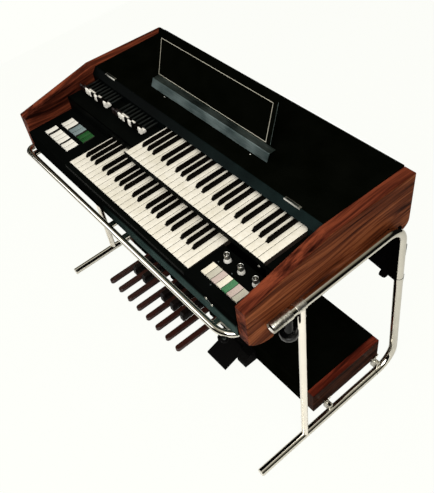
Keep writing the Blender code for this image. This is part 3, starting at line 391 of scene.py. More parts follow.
# tab flanks, dark: painted shade in the gaps between tabs, so they show
SHADE = finish("tab_flank_painted_shade", ((0.3, "#1d1a17"), (0.7, "#332e29")), grain_mm=2.0, rough=(0.60, 0.80),
               bump_mm=0.02, level=0.2)
print("materials so far", len(bpy.data.materials))

# %% [markdown]
# The bass pedals are hardwood sticks: the naturals stained red-brown, the raised sharps ebonised. Their
# grain runs along the pedal, 2 mm wide and eighteen times as long.

# %% Pedal woods
# red-brown with a waxed shine
PEDAL_BROWN = finish("stained_pedal_hardwood", ((0.3, "#1d0c09"), (0.7, "#3e1b13")), grain_mm=2.0,
                     rough=(0.26, 0.40), bump_mm=0.05, stretch=(1, 18, 1), level=0.35)
# nearly black, duller from wear
PEDAL_BLACK = finish("ebonised_pedal_hardwood", ((0.3, "#070404"), (0.7, "#130b09")), grain_mm=2.0,
                     rough=(0.30, 0.45), bump_mm=0.05, stretch=(1, 18, 1), level=0.2)
print("materials so far", len(bpy.data.materials))

# %% [markdown]
# Solids whose shape is right stay as they are. A sheet or board never has a knife edge, so each gets a
# narrow bevel after its loose triangles are welded. The table gives each solid its finish and the width
# of that bevel. The veneered cheeks and the pedals keep their own rounded edges.

# %% Finish for the solids that stay
KEEP = {
    "case_shell": (IRON, 0.0006), "left_cheek": (WALNUT_LEFT, 0), "right_cheek": (WALNUT, 0),
    "top_panel": (VINYL, 0.0008), "fallboard": (SHEEN, 0.0004), "front_panel": (FRONT_PAINTED_SHEEN, 0.0006),
    "music_rest_panel": (REST, 0.0012), "music_rest_ledge": (BRUSHED, 0.0008),
    "pedal_box": (VINYL, 0.0008), "pedal_left_cheek": (WALNUT_DARK, 0), "pedal_right_cheek": (WALNUT_DARK, 0),
    "expression_base": (RUBBER, 0.0012), "expression_treadle": (RUBBER, 0.0010),
}
KEEP.update({"pedal_natural_%d" % i: (PEDAL_BROWN, 0) for i in range(1, 9)})
KEEP.update({"pedal_sharp_%d" % i: (PEDAL_BLACK, 0) for i in range(1, 6)})
WELD_REACH = 0.00002
BEVEL_ANGLE = math.radians(35)


def ease_edges(obj, width):
    """Weld the loose triangles, then bevel every edge that turns by more than the bevel angle."""
    weld = obj.modifiers.new("weld", "WELD")
    weld.merge_threshold = WELD_REACH
    bevel = obj.modifiers.new("eased_edge", "BEVEL")
    bevel.width = width
    bevel.segments = 2
    bevel.limit_method = "ANGLE"
    bevel.angle_limit = BEVEL_ANGLE
    bevel.harden_normals = True


for node_name, (look, width) in KEEP.items():
    solid = NODES[node_name]
    for held in solid.material_slots:
        held.material = look
    if width:
        ease_edges(solid, width)
print("solids kept", len(KEEP))

# %% [markdown]
# New surfaces are arrays of points. Nearly everything here is a stack of rings with the same number of
# points: a tube is a ring carried along a path, a turned knob is a ring that changes radius, a key is an
# outline whose last rings shrink inward to round the edge. One function skins such a stack and closes
# both ends, and turns the faces outward by the sign of the enclosed volume.

# %% Skins


def skin(rings):
    """Quads between each ring and the next, wrapped round, and one face over each end.

    The enclosed volume is the sum of the tetrahedra from the middle to every face; if it is negative the
    faces are turned round.
    """
    rings = np.asarray(rings, float)
    rows, cols, _ = rings.shape
    index = np.arange(rows * cols).reshape(rows, cols)
    ahead = np.roll(index, -1, axis=1)
    quads = np.stack([index[:-1], ahead[:-1], ahead[1:], index[1:]], axis=-1).reshape(-1, 4)
    points = rings.reshape(-1, 3)
    p = points - points.mean(axis=0)
    a, b, c, d = (p[quads[:, k]] for k in range(4))
    volume = np.einsum("ij,ij->", a, np.cross(b, c)) + np.einsum("ij,ij->", a, np.cross(c, d))
    ends = [index[0, ::-1], index[-1]]
    for end in ends:
        q = p[end]
        volume += np.einsum("j,ij->", q[0], np.cross(q[1:-1], q[2:]))
    faces = quads.tolist() + [end.tolist() for end in ends]
    if volume < 0:
        faces = [face[::-1] for face in faces]
    return points, faces


def gather(parts):
    """Several skins as one: each one's face numbers move up by the points before it."""
    points = np.vstack([part[0] for part in parts])
    faces = []
    start = 0
    for part_points, part_faces in parts:
        faces += [[start + v for v in face] for face in part_faces]
        start += len(part_points)
    return points, faces


cube = np.array([[[0, 0, z], [1, 0, z], [1, 1, z], [0, 1, z]] for z in (0, 1)])
print("skin of a cube has", len(skin(cube)[1]), "faces")

# %% [markdown]
# Lengths on the real instrument are easiest to name from the playing position: the left end, front edge
# and top face of the lower natural keys. One offset moves those numbers to the frame, whose origin is the
# middle of the footprint on the floor. Every new piece is placed this way, given its finish, put on the
# body that it moves with, and told which solid it stands in for.

# %% Key datum and pieces
DATUM = np.array([-0.2860, -0.268116, 0.779264])
FLANK_NORMAL = 0.9
CRISP, ROUNDED = 30.0, 40.0


def piece(name, parts, look, body="organ", crease=38.0, stands_for=(), flank=None):
    """Puts skins given from the key datum into one object that rides on a body.

    crease is the angle in degrees past which an edge stays sharp: crisp for plates, rounded for turned
    parts, and 0 leaves every face flat. flank is a second, darker material for the faces whose normal lies
    along X: painted shade in the gaps between keys and between tabs.
    """
    points, faces = gather(parts if isinstance(parts, list) else [parts])
    mesh = bpy.data.meshes.new(name)
    mesh.from_pydata((points + DATUM).tolist(), [], faces)
    mesh.materials.append(look)
    if flank:
        mesh.materials.append(flank)
        normals = np.zeros(len(mesh.polygons) * 3)
        mesh.polygons.foreach_get("normal", normals)
        mesh.polygons.foreach_set("material_index", (np.abs(normals[::3]) > FLANK_NORMAL).astype(np.int32))
    obj = bpy.data.objects.new(name, mesh)
    bpy.context.scene.collection.objects.link(obj)
    if crease:
        mesh.shade_smooth()
        mesh.set_sharp_from_angle(angle=math.radians(crease))
    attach(obj, body)
    if stands_for:
        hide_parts(*stands_for)


print("key datum in the frame", DATUM.tolist())

# %% [markdown]
# Chromed tube is bent cold round a former, so its path is straight runs joined by arcs. The path's corner
# points are typed and each corner is replaced by an arc; a ring carried square to that path is the tube.

# %% Tubes


def bent_path(corners, radii, steps=14):
    """Corners become arcs whose middle lies on the bisector at radius over the sine of half the angle."""
    corners = np.asarray(corners, float)
    path = [corners[:1]]
    for k, radius in enumerate(radii):
        corner = corners[k + 1]
        back = corners[k] - corner
        ahead = corners[k + 2] - corner
        back /= np.linalg.norm(back)
        ahead /= np.linalg.norm(ahead)
        half = math.acos(float(back @ ahead)) / 2
        middle = corner + (back + ahead) / np.linalg.norm(back + ahead) * radius / math.sin(half)
        start = corner + back * radius / math.tan(half) - middle
        stop = corner + ahead * radius / math.tan(half) - middle
        sweep = math.acos(float(start @ stop) / radius ** 2)
        t = np.linspace(0.0, 1.0, steps + 1)[:, None]
        path.append(middle + (start * np.sin((1 - t) * sweep) + stop * np.sin(t * sweep)) / math.sin(sweep))
    path.append(corners[-1:])
    return np.vstack(path)


SLANT = (0.31, 0.52, 0.79)


def tube(path, radius, sides=32):
    """Ring k is the path's point k plus radius times (side cos a + normal sin a).

    side is the plane's normal crossed with the mean direction there, lengthened by one over the cosine
    of half the turn, so the tube keeps its thickness through the bend. A straight path has no plane, so
    a slanting helper direction gives it one.
    """
    path = np.asarray(path, float)
    step = np.diff(path, axis=0)
    step /= np.linalg.norm(step, axis=1)[:, None]
    before = np.vstack([step[:1], step])
    after = np.vstack([step, step[-1:]])
    tangent = before + after
    tangent /= np.linalg.norm(tangent, axis=1)[:, None]
    turn = np.cross(step[:-1], step[1:]).sum(axis=0) if len(step) > 1 else np.zeros(3)
    if np.linalg.norm(turn) < 1e-9:
        turn = np.cross(step[0], SLANT)
    normal = turn / np.linalg.norm(turn)
    side = np.cross(normal, tangent) / np.einsum("ij,ij->i", tangent, after)[:, None]
    a = np.linspace(0, 2 * math.pi, sides, endpoint=False)[None, :, None]
    return skin(path[:, None, :] + radius * (side[:, None, :] * np.cos(a) + normal * np.sin(a)))


print("tube of a metre has", len(tube([(0, 0, 0), (0, 0, 1)], 0.01)[1]), "faces")

# %% [markdown]
# A turned part is cut on a lathe: its shape is a list of radius and height. The list starts and ends a
# tenth of a millimetre off the axis, so that the last ring keeps its points and closes with one small
# face. Lobes on the rim, as on a hand wheel, are a cosine on the radius of the chosen rows.

# %% Turned parts
AXES = {"X": (0, 1, 2), "Y": (1, 2, 0), "Z": (2, 0, 1)}
CORE = 0.0001


def turned(profile, centre, axis="Z", sides=40, lobes=0, depth=0.0, rows=None):
    """Ring of radius r at height h; with lobes the radius is r (1 + depth cos(lobes a)) on those rows."""
    profile = np.asarray(profile, float)
    a = np.linspace(0, 2 * math.pi, sides, endpoint=False)
    radius = np.repeat(profile[:, :1], sides, axis=1)
    if lobes:
        radius[slice(*rows)] *= 1 + depth * np.cos(lobes * a)
    along, u, v = AXES[axis]
    rings = np.zeros((len(profile), sides, 3))
    rings[..., along] = profile[:, 1:2]
    rings[..., u] = radius * np.cos(a)
    rings[..., v] = radius * np.sin(a)
    return skin(rings + np.asarray(centre, float))


pin = turned([(CORE, 0.0), (0.01, 0.0), (0.01, 1.0), (CORE, 1.0)], (0, 0, 0))
print("pin has", len(pin[1]), "faces")

# %% [markdown]
# Plates, blocks and small mouldings are slabs: an outline carried along an axis. Near each end the
# outline shrinks inward while the height moves on, following a quarter circle, which softens the rim.

# %% Slabs


def inset(outline, distance):
    """Each corner moves inward by distance times the sum of its edge normals over one plus their product."""
    area = np.sum(outline[:, 0] * np.roll(outline[:, 1], -1) - np.roll(outline[:, 0], -1) * outline[:, 1])
    edge = np.roll(outline, -1, axis=0) - outline
    edge /= np.linalg.norm(edge, axis=1)[:, None]
    out = np.stack([edge[:, 1], -edge[:, 0]], axis=1) * np.sign(area)
    before = np.roll(out, 1, axis=0)
    return outline - distance * (out + before) / (1 + np.sum(out * before, axis=1))[:, None]


def round_over(rim, steps=3):
    """Pairs of drop below the end face and shrink, along a quarter circle of radius rim, full ring first."""
    a = np.linspace(0, math.pi / 2, steps + 1)
    return [(rim * (1 - math.sin(t)), rim * (1 - math.cos(t))) for t in a]


def slab(outline, low, high, rim=0.0, axis="Z"):
    """Outline carried from low to high; the last rim of it shrinks along a quarter circle at each end."""
    outline = np.asarray(outline, float)
    turns = round_over(rim) if rim else [(0.0, 0.0)]
    levels = [(low + drop, shrink) for drop, shrink in turns[::-1]]
    levels += [(high - drop, shrink) for drop, shrink in turns]
    along, u, v = AXES[axis]
    rings = np.zeros((len(levels), len(outline), 3))
    for k, (height, shrink) in enumerate(levels):
        ring = inset(outline, shrink)
        rings[k, :, along] = height
        rings[k, :, u] = ring[:, 0]
        rings[k, :, v] = ring[:, 1]
    return skin(rings)


def rectangle(x0, x1, y0, y1, radius=0.0, steps=4):
    """Rectangle, its corners replaced by quarter circles when a radius is given."""
    if not radius:
        return np.array([(x0, y0), (x1, y0), (x1, y1), (x0, y1)], float)
    a = np.linspace(0, math.pi / 2, steps + 1)
    turns = []
    for k, (cx, cy) in enumerate(((x1, y0), (x1, y1), (x0, y1), (x0, y0))):
        sx = 1 if k in (0, 1) else -1
        sy = 1 if k in (1, 2) else -1
        angle = a + (k - 1) * math.pi / 2
        turns.append(np.stack([cx - sx * radius + radius * np.cos(angle),
                               cy - sy * radius + radius * np.sin(angle)], axis=1))
    return np.vstack(turns)


print("rounded rectangle has", len(rectangle(0, 1, 0, 1, 0.1)), "points")

# %% [markdown]
# A natural key is an injection moulding: a flat playing surface with a small radius along every edge, a
# lip that stands a little proud of the body under it, and notches that let the sharps through. The
# outline with its notches comes from the keyboard's spacing, and the lip and radius are rings of it.

# %% Outline of a natural key
KEY_PITCH = 0.0235
KEY_COUNT = 26
KEY_GAP = 0.0010
HEAD_LENGTH = 0.0491
KEY_LENGTH = 0.2030
NOTCH_HALF = 0.0058
FIRST_NOTE = 3
SHARP_SHIFT = {0: -0.0018, 1: 0.0018, 3: -0.0026, 4: 0.0, 5: 0.0026}


def sharp_middle(index):
    """The sharp after natural number index stands on the joint line plus the shift for its note.

    Notes count from C in sevens, and the first natural is an F. After E, B and the last key there is none.
    """
    shift = SHARP_SHIFT.get((index + FIRST_NOTE) % 7)
    return None if shift is None or index == KEY_COUNT - 1 else (index + 1) * KEY_PITCH + shift


def natural_outline(index):
    """Rectangle between two joint lines, less the half sharps that stand in it."""
    left = index * KEY_PITCH + KEY_GAP / 2
    right = (index + 1) * KEY_PITCH - KEY_GAP / 2
    before = sharp_middle(index - 1) if index else None
    after = sharp_middle(index)
    inner_left = left if before is None else before + NOTCH_HALF
    inner_right = right if after is None else after - NOTCH_HALF
    points = [(left, 0.0), (right, 0.0)]
    if after is not None:
        points += [(right, HEAD_LENGTH), (inner_right, HEAD_LENGTH)]
    points += [(inner_right, KEY_LENGTH), (inner_left, KEY_LENGTH)]
    if before is not None:
        points += [(inner_left, HEAD_LENGTH), (left, HEAD_LENGTH)]
    return np.array(points)


print("first key has", len(natural_outline(0)), "corners, the next", len(natural_outline(1)))

# %% [markdown]
# All naturals of a manual move as one piece here, so a hinge strip joins them at their hidden end. The
# upper manual is the lower one again, moved seven notes up, back and up to its own level.

# %% Natural keys
UPPER = np.array([0.1645, 0.1190, 0.0607])
BODY_DEPTH = 0.0180
BODY_INSET = 0.0004
LIP_DEPTH = 0.0031
LIP_STEP = 0.0003
KEY_ROUND = 0.0012
HINGE_FRONT, HINGE_BACK = 0.2000, 0.2158
HINGE_TOP = -0.0100
KEY_CREASE = 20.0
MANUALS = (("lower", np.zeros(3)), ("upper", UPPER))


def natural_key(index, offset):
    """Rings at body, lip and radius: body 0.4 mm inside the outline, lip on it, then a 1.2 mm round."""
    outline = natural_outline(index)
    levels = [(-BODY_DEPTH, BODY_INSET), (-LIP_DEPTH - LIP_STEP, BODY_INSET), (-LIP_DEPTH, 0.0)]
    levels += [(-drop, shrink) for drop, shrink in round_over(KEY_ROUND)]
    rings = np.zeros((len(levels), len(outline), 3))
    for k, (height, shrink) in enumerate(levels):
        rings[k, :, :2] = inset(outline, shrink)
        rings[k, :, 2] = height
    return skin(rings + offset)


def hinge_strip(x0, x1, z0, z1, offset):
    """The strip that carries a row of keys at their hidden end."""
    points, faces = slab(rectangle(x0, x1, HINGE_FRONT, HINGE_BACK), z0, z1)
    return points + offset, faces


for manual, offset in MANUALS:
    keys = [natural_key(i, offset) for i in range(KEY_COUNT)]
    keys.append(hinge_strip(KEY_GAP / 2, KEY_COUNT * KEY_PITCH - KEY_GAP / 2, -BODY_DEPTH, HINGE_TOP, offset))
    # the flanks of the keys take the dark second material, painted shade in the joints
    piece(manual + "_white_keys", keys, IVORY, manual + "_naturals", KEY_CREASE,
          [manual + "_naturals"], FLANK_SHADE)
print("natural keys", 2 * KEY_COUNT)

# %% [markdown]
# A sharp is narrower at the top than at the root, its nose slopes back and its top edges are rounded so
# that a finger can slide off it. Each section is a rounded trapezoid. Along the key the height rises over
# the first 11 mm, fast at first and then levelling out, and the width at the top grows with it.

# %% Sharp keys
SHARP_FRONT = 0.0500
NOSE_LENGTH = 0.0110
NOSE_EASE = 1.5
TOE_HEIGHT = 0.0015
SHARP_RISE = 0.0088
SHARP_ROUND = 0.0013
ROUND_SHARE = 0.45
BACK_ROUND, BACK_DROP = 0.0010, 0.0008
TOP_HALF = 0.0041
NOSE_NARROW = 0.82
ROOT_HALF = 0.0050
ROOT_DEPTH = 0.0160
ROOT_STEP = 0.0001
STRIP_HALF = 0.0057
STRIP_UNDER, STRIP_TOP = -0.0094, -0.0014


def sharp_key(middle, offset):
    """Section at y: half width 5 mm at the root, less at the top, corner radius 1.3 mm; height h(y).

    h rises from 1.5 mm to full as 1 - (1 - t) cubed over the first 11 mm, and the half width at the top
    grows there from 82 percent of 4.1 mm to all of it.
    """
    nose = SHARP_FRONT + NOSE_LENGTH * np.linspace(0, 1, 9) ** NOSE_EASE
    y = np.concatenate([nose, [KEY_LENGTH - BACK_ROUND, KEY_LENGTH]])
    t = np.clip((y - SHARP_FRONT) / NOSE_LENGTH, 0, 1)
    high = TOE_HEIGHT + SHARP_RISE * (1 - (1 - t) ** 3)
    high[-1] -= BACK_DROP
    top = TOP_HALF * (NOSE_NARROW + (1 - NOSE_NARROW) * t)
    radius = np.minimum(SHARP_ROUND, high * ROUND_SHARE)
    u = [np.full_like(y, ROOT_HALF), np.full_like(y, ROOT_HALF - ROOT_STEP)]
    w = [np.full_like(y, -ROOT_DEPTH), np.zeros_like(y)]
    for angle in np.linspace(0, math.pi / 2, 4):
        u.append(top - radius * (1 - math.cos(angle)))
        w.append(high - radius * (1 - math.sin(angle)))
    u = np.array(u)
    w = np.array(w)
    rings = np.zeros((len(y), 2 * len(u), 3))
    rings[:, :len(u), 0] = u.T
    rings[:, len(u):, 0] = -u[::-1].T
    rings[:, :len(u), 2] = w.T
    rings[:, len(u):, 2] = w[::-1].T
    rings[..., 1] = y[:, None]
    rings[..., 0] += middle
    return skin(rings + offset)


middles = [m for m in (sharp_middle(i) for i in range(KEY_COUNT)) if m is not None]
for manual, offset in MANUALS:
    keys = [sharp_key(m, offset) for m in middles]
    strip_ends = (middles[0] - STRIP_HALF, middles[-1] + STRIP_HALF)
    keys.append(hinge_strip(*strip_ends, STRIP_UNDER, STRIP_TOP, offset))
    piece(manual + "_black_keys", keys, EBONY, manual + "_sharps", CRISP,
          [manual + "_sharps"])
print("sharp keys", 2 * len(middles))

# %% [markdown]
# A black slip stands close in front of each manual, so only the tops of the keys show from above. The
# lower one is a plain bar. The upper one is a thin plate with a small return at each end, which meets the
# plates beside the keys.

# %% Key slips
LEFT_END, RIGHT_END = -0.24355, 0.81555
UPPER_LEFT, UPPER_RIGHT = 0.1623, 0.7777
RETURN = 0.0030
LOWER_SLIP = (-0.0020, 0.6130, -0.0172, -0.0012, -0.0138, -0.0010)
SLIP_FRONT, SLIP_BACK, RETURN_BACK = 0.1160, 0.1178, 0.1209
SLIP_FOOT, RETURN_TOP, SLIP_TOP = 0.0411, 0.0460, 0.0597


def plate(x0, x1, y0, y1, z0, z1, rim=0.0005):
    """Flat plate or block with eased edges."""
    return slab(rectangle(x0, x1, y0, y1), z0, z1, rim)


piece("lower_key_slip", plate(*LOWER_SLIP), ENAMEL, crease=CRISP)
slip = [plate(UPPER_LEFT - RETURN, UPPER_RIGHT + RETURN, SLIP_FRONT, SLIP_BACK, SLIP_FOOT, SLIP_TOP)]
slip += [plate(x, x + RETURN, SLIP_BACK, RETURN_BACK, SLIP_FOOT, RETURN_TOP, 0.0)
         for x in (UPPER_LEFT - RETURN, UPPER_RIGHT)]
piece("upper_key_slip", slip, ENAMEL, crease=CRISP)
print("slip parts", 1 + len(slip))

# %% [markdown]
# The manuals sit in sheet steel folded from 3 mm and 1.4 mm plate. There is a deck under the drawbars
# with a riser below its front edge, a filler at the treble end, a rail under the upper keys, and a plate
# that closes the gap behind the last lower key.

# %% Upper panel
DECK_FRONT, DECK_BACK = 0.1510, 0.2637
DECK_UNDER, DECK_TOP = 0.0436, 0.0466
RISER_FOOT = 0.0200
PAN_TOP = -0.0050
LOWER_PLATE_END, LOWER_PLATE_TOP = -0.0052, 0.0230
PANEL_WALL = 0.0030
RISER_BACK = DECK_FRONT + PANEL_WALL
FILLER_FRONT = 0.1210
RAIL_FRONT, CLOSING_FRONT = 0.1336, 0.1400
RAIL_TOP = 0.0320
CLOSING_LEFT = 0.6140
THIN = 0.0014
sheets = [
    (LEFT_END, UPPER_LEFT, DECK_FRONT, DECK_BACK, DECK_UNDER, DECK_TOP),
    (LEFT_END, UPPER_LEFT, DECK_FRONT, RISER_BACK, RISER_FOOT, DECK_TOP),
    (LEFT_END, LOWER_PLATE_END, DECK_FRONT, RISER_BACK, PAN_TOP, LOWER_PLATE_TOP),
    (UPPER_LEFT - RETURN, UPPER_LEFT, FILLER_FRONT, RISER_BACK, RISER_FOOT, DECK_TOP),
    (UPPER_RIGHT, RIGHT_END, FILLER_FRONT, DECK_BACK, DECK_UNDER, DECK_TOP),
    (UPPER_RIGHT, RIGHT_END, FILLER_FRONT, FILLER_FRONT + PANEL_WALL, PAN_TOP, DECK_TOP),
    (UPPER_LEFT - RETURN, RIGHT_END, RAIL_FRONT, RAIL_FRONT + THIN, RISER_FOOT, RAIL_TOP),
    (CLOSING_LEFT, UPPER_RIGHT, CLOSING_FRONT, CLOSING_FRONT + THIN, PAN_TOP, RAIL_TOP),
]
piece("upper_panel_sheets", [plate(*sheet) for sheet in sheets], ENAMEL, crease=CRISP,
      stands_for=["upper_panel"])
print("sheets", len(sheets))

# %% [markdown]
# A drawbar is a flat blackened strip that slides in the fallboard, with a moulded tip: a tall lip in
# front to pull on, and a low ridge behind. The tip's side profile is a closed smooth curve
# through a few points, carried across with rounded rims. White, chocolate and black tips mark the pitches.

# %% Drawbars
BAR_PITCH = 0.0183
BAR_STARTS = (-0.2105, -0.0130)
BARS_IN_GROUP = 9
BAR_LOOKS = (BROWN, BROWN, WHITE, WHITE, EBONY, WHITE, EBONY, EBONY, WHITE)
TIP_POINTS = [(-0.0086, 0.0652), (0.0090, 0.0645), (0.0102, 0.0688), (0.0097, 0.0732), (0.0064, 0.0747),
              (0.0024, 0.0735), (-0.0016, 0.0780), (-0.0047, 0.0855), (-0.0070, 0.0864),
              (-0.0093, 0.0846), (-0.0104, 0.0780), (-0.0103, 0.0710)]
TIP_Y = 0.2050
TIP_HALF = 0.0074
TIP_RIM = 0.0009
STRIP_SECTION = rectangle(0.2130, 0.2898, 0.0660, 0.0700)
BAR_HALF = 0.0030
BAR_RIM = 0.0003


def smooth_loop(points, steps=4):
    """Catmull-Rom curve through a closed list of points.

    Each span is a cubic whose slope at a point is half of the next point less the last one.
    """
    p = np.asarray(points, float)
    before, after, later = np.roll(p, 1, axis=0), np.roll(p, -1, axis=0), np.roll(p, -2, axis=0)
    t = np.linspace(0, 1, steps, endpoint=False)[None, :, None]
    a = 2 * p[:, None]
    b = (after - before)[:, None] * t
    c = (2 * before - 5 * p + 4 * after - later)[:, None] * t ** 2
    d = (3 * p - before - 3 * after + later)[:, None] * t ** 3
    return (0.5 * (a + b + c + d)).reshape(-1, 2)


tip_outline = smooth_loop(TIP_POINTS) + np.array([TIP_Y, 0.0])
bar_places = [start + BAR_PITCH * i for start in BAR_STARTS for i in range(BARS_IN_GROUP)]
for i, x in enumerate(bar_places):
    number = "%02d" % (i + 1)
    body = "drawbar_" + number
    look = BAR_LOOKS[i % BARS_IN_GROUP]
    tip = slab(tip_outline, x - TIP_HALF, x + TIP_HALF, TIP_RIM, "X")
    piece("drawbar_tip_" + number, tip, look, body,
          CRISP, [body])
    strip = slab(STRIP_SECTION, x - BAR_HALF, x + BAR_HALF, BAR_RIM, "X")
    piece("drawbar_strip_" + number, strip, DULL, body, CRISP)
print("drawbars", len(bar_places), "tip points", len(tip_outline))

# %% [markdown]
# The rocker tabs are shallow bridges: each end stands up a little and the middle dips, so that a finger
# rocks them either way. Across the tab the edges are rounded. Colours group the functions, so every tab
# is a skin of its own in the row that moves together, on a rod that the row turns about.

# %% Shape of a rocker tab
TAB_TOP = 0.0018
TAB_DIP = 0.0012
TAB_UNDER = -0.0080
TAB_RIM = 0.0007
TOP_INSET, SIDE_INSET, FOOT_INSET = 0.0006, 0.0001, 0.0012
TAB_SIDE, FOOT_RISE = 0.0010, 0.0010


def rocker(x0, x1, y0, y1):
    """Side profile whose top is the dip 1.2 mm (1 - s squared), s from -1 to 1 along the tab."""
    s = np.linspace(-1, 1, 13)
    reach = (y1 - y0) / 2
    middle = (y0 + y1) / 2
    upper = np.stack([middle + s * (reach - TOP_INSET), TAB_TOP - TAB_DIP * (1 - s ** 2)], axis=1)
    front, back = y0 + SIDE_INSET, y1 - SIDE_INSET
    lower = np.array([(back, TAB_SIDE), (back, TAB_UNDER + FOOT_RISE), (y1 - FOOT_INSET, TAB_UNDER),
                      (y0 + FOOT_INSET, TAB_UNDER), (front, TAB_UNDER + FOOT_RISE), (front, TAB_SIDE)])
    return slab(np.vstack([upper, lower]), x0, x1, TAB_RIM, "X")


print("tab has", len(rocker(0.0, 0.02, 0.0, 0.04)[0]), "points")

# %% [markdown]
# Three rows of tabs: one under the knobs at the treble end, and two at the bass end, where the rear row
# stands in pairs. The table gives each row its left edges, tab width, front and back, and colours.

# %% Rows of tabs
ROWS = (
    ("tabs_right", [0.6410 + 0.0203 * i for i in range(7)], 0.0193, 0.0175, 0.0600,
     (CREAM, BEIGE, PINK, CREAM, LEAF, PINK, BEIGE)),
    ("tabs_left_front", [-0.1980, -0.1660, -0.1441, -0.1222, -0.0930, -0.0711], 0.0209, 0.0205, 0.0630,
     (WHITE, WHITE, WHITE, WHITE, WHITE, WHITE)),
    ("tabs_left_rear", [-0.1910, -0.1691, -0.1402, -0.1183, -0.0894, -0.0675], 0.0209, 0.0800, 0.1235,
     (WHITE, WHITE, BLUE, BLUE, GREEN, GREEN)),
)
ROD_Z = -0.0140
ROD_RADIUS = 0.0025
ROD_INSET = 0.001
STEM_HALF = 0.0028
STEM_TOP = -0.0070
STEM_INSET = 0.004
TAB_CLEAR = 0.0002

for row, starts, width, y0, y1, looks in ROWS:
    middle = (y0 + y1) / 2
    rod_ends = [(x, middle, ROD_Z) for x in (starts[0] + ROD_INSET, starts[-1] + width - ROD_INSET)]
    piece(row + "_rod", tube(rod_ends, ROD_RADIUS, 16), STEEL, row, CRISP, [row])
    stem_section = rectangle(middle - STEM_HALF, middle + STEM_HALF, ROD_Z, STEM_TOP)
    for i, (x, look) in enumerate(zip(starts, looks)):
        stem = slab(stem_section, x + STEM_INSET, x + width - STEM_INSET, 0.0, "X")
        tab = rocker(x + TAB_CLEAR, x + width - TAB_CLEAR, y0, y1)
        # the flanks of each tab take SHADE, painted shade in the gaps between tabs
        piece("%s_%d" % (row, i + 1), [tab, stem], look, row, CRISP, flank=SHADE)
print("tabs", sum(len(row[1]) for row in ROWS))

# %% [markdown]
# Each rotary knob is a turned nickel shell on a flared skirt. Fine flutes run round the shell for grip;
# they are a cosine on the radius. The top is a bright rim round a black recess with a small disc in it.

# %% Rotary knobs
KNOB_PLACES = (0.6640, 0.7180, 0.7740)
KNOB_Y = 0.0890
KNOB_FLUTES = 24
FLUTE_DEPTH = 0.018
SKIRT = [(CORE, -0.0016), (0.0100, -0.0016), (0.0105, -0.0008), (0.0105, 0.0020), (0.0101, 0.0036),
         (0.0084, 0.0104), (0.0080, 0.0112), (CORE, 0.0112)]
SHELL = [(CORE, 0.0110), (0.0080, 0.0110), (0.0082, 0.0124), (0.0080, 0.0250), (0.0078, 0.0263),
         (0.0072, 0.0268), (0.0065, 0.0263), (0.0062, 0.0240), (CORE, 0.0240)]
SHELL_GRIP = (2, 4)
RECESS = [(CORE, 0.0236), (0.0062, 0.0236), (0.0062, 0.0252), (0.0030, 0.0252), (CORE, 0.0252)]
DISC = [(CORE, 0.0262), (0.0024, 0.0262), (0.0029, 0.0257), (0.0030, 0.0246), (CORE, 0.0246)]

for i, x in enumerate(KNOB_PLACES):
    body = "rotary_knob_%d" % (i + 1)
    centre = (x, KNOB_Y, 0.0)
    piece(body + "_skirt", turned(SKIRT, centre, sides=64), FROSTED, body, ROUNDED, [body])
    shell = turned(SHELL, centre, sides=96, lobes=KNOB_FLUTES, depth=FLUTE_DEPTH, rows=SHELL_GRIP)
    piece(body + "_shell", shell, NICKEL, body, ROUNDED)
    piece(body + "_recess", turned(RECESS, centre, sides=40), ABS, body, ROUNDED)
    piece(body + "_disc", turned(DISC, centre, sides=32), TURNED, body, ROUNDED)
print("rotary knobs", len(KNOB_PLACES))

# %% [markdown]
# The stand is bent chromed steel tube. Each side frame is one long tube: a top run outside the cheek, a
# tight bend down into the rear leg, and a wide bend into the foot on the floor. A thinner strut joins the
# top run to the foot. Both frames are alike, so one loop makes them from the right side's numbers.

# %% Side frame tubes
MID_X = -DATUM[0]
FRAME_X = 0.8712
TUBE_Z = -0.0450
FOOT_Z = -0.7655
LEG_TOP_Y, LEG_FOOT_Y = 0.5280, 0.5780
RUN_FRONT_Y, FOOT_FRONT_Y = 0.1000, -0.0500
FRAME_BENDS = (0.0700, 0.0750)
FRAME_RADIUS = 0.01360
STRUT_Y = 0.1475
STRUT_RADIUS = 0.0110
SIDES = ("right", "left")


def on_side(side, x):
    """x is typed for the right side; on the left it becomes twice the middle less x."""
    return x if side == "right" else 2 * MID_X - x


for side in SIDES:
    x = on_side(side, FRAME_X)
    corners = [(x, RUN_FRONT_Y, TUBE_Z), (x, LEG_TOP_Y, TUBE_Z),
               (x, LEG_FOOT_Y, FOOT_Z), (x, FOOT_FRONT_Y, FOOT_Z)]
    main = tube(bent_path(corners, FRAME_BENDS, 18), FRAME_RADIUS, 36)
    piece(side + "_frame_tube", main, CHROME, stands_for=[side + "_stand_frame"])
    strut = tube([(x, STRUT_Y, FOOT_Z), (x, STRUT_Y, TUBE_Z)], STRUT_RADIUS)
    # the strut's whiter chrome is painted light
    piece(side + "_strut", strut, STRUT_LIT_CHROME)
print("side frames", len(SIDES))

# %% [markdown]
# A sleeve with an open end carries the front of each top run, next to a collar. Its bore is dark: a
# black plug deep inside is painted shade, and a white strip on the lower inner wall is a painted reflection.

# %% Sleeves and collars
SLEEVE = [(CORE, 0.1100), (0.0148, 0.1100), (0.0159, 0.1090), (0.0159, 0.0460), (0.0156, 0.0451),
          (0.0137, 0.0451), (0.0133, 0.0460), (0.0133, 0.0860), (CORE, 0.0860)]
BORE_SHADE_PLUG = [(CORE, 0.0500), (0.0131, 0.0500), (0.0131, 0.0700), (CORE, 0.0700)]
COLLAR = [(0.0120, 0.1560), (0.0146, 0.1560), (0.0153, 0.1552), (0.0153, 0.1258), (0.0146, 0.1250),
          (0.0120, 0.1250)]
REFLECTION_OUTER, REFLECTION_INNER = 0.0132, 0.0117
REFLECTION_ARC = (150.0, 215.0)
REFLECTION_FRONT, REFLECTION_BACK = 0.0447, 0.0499

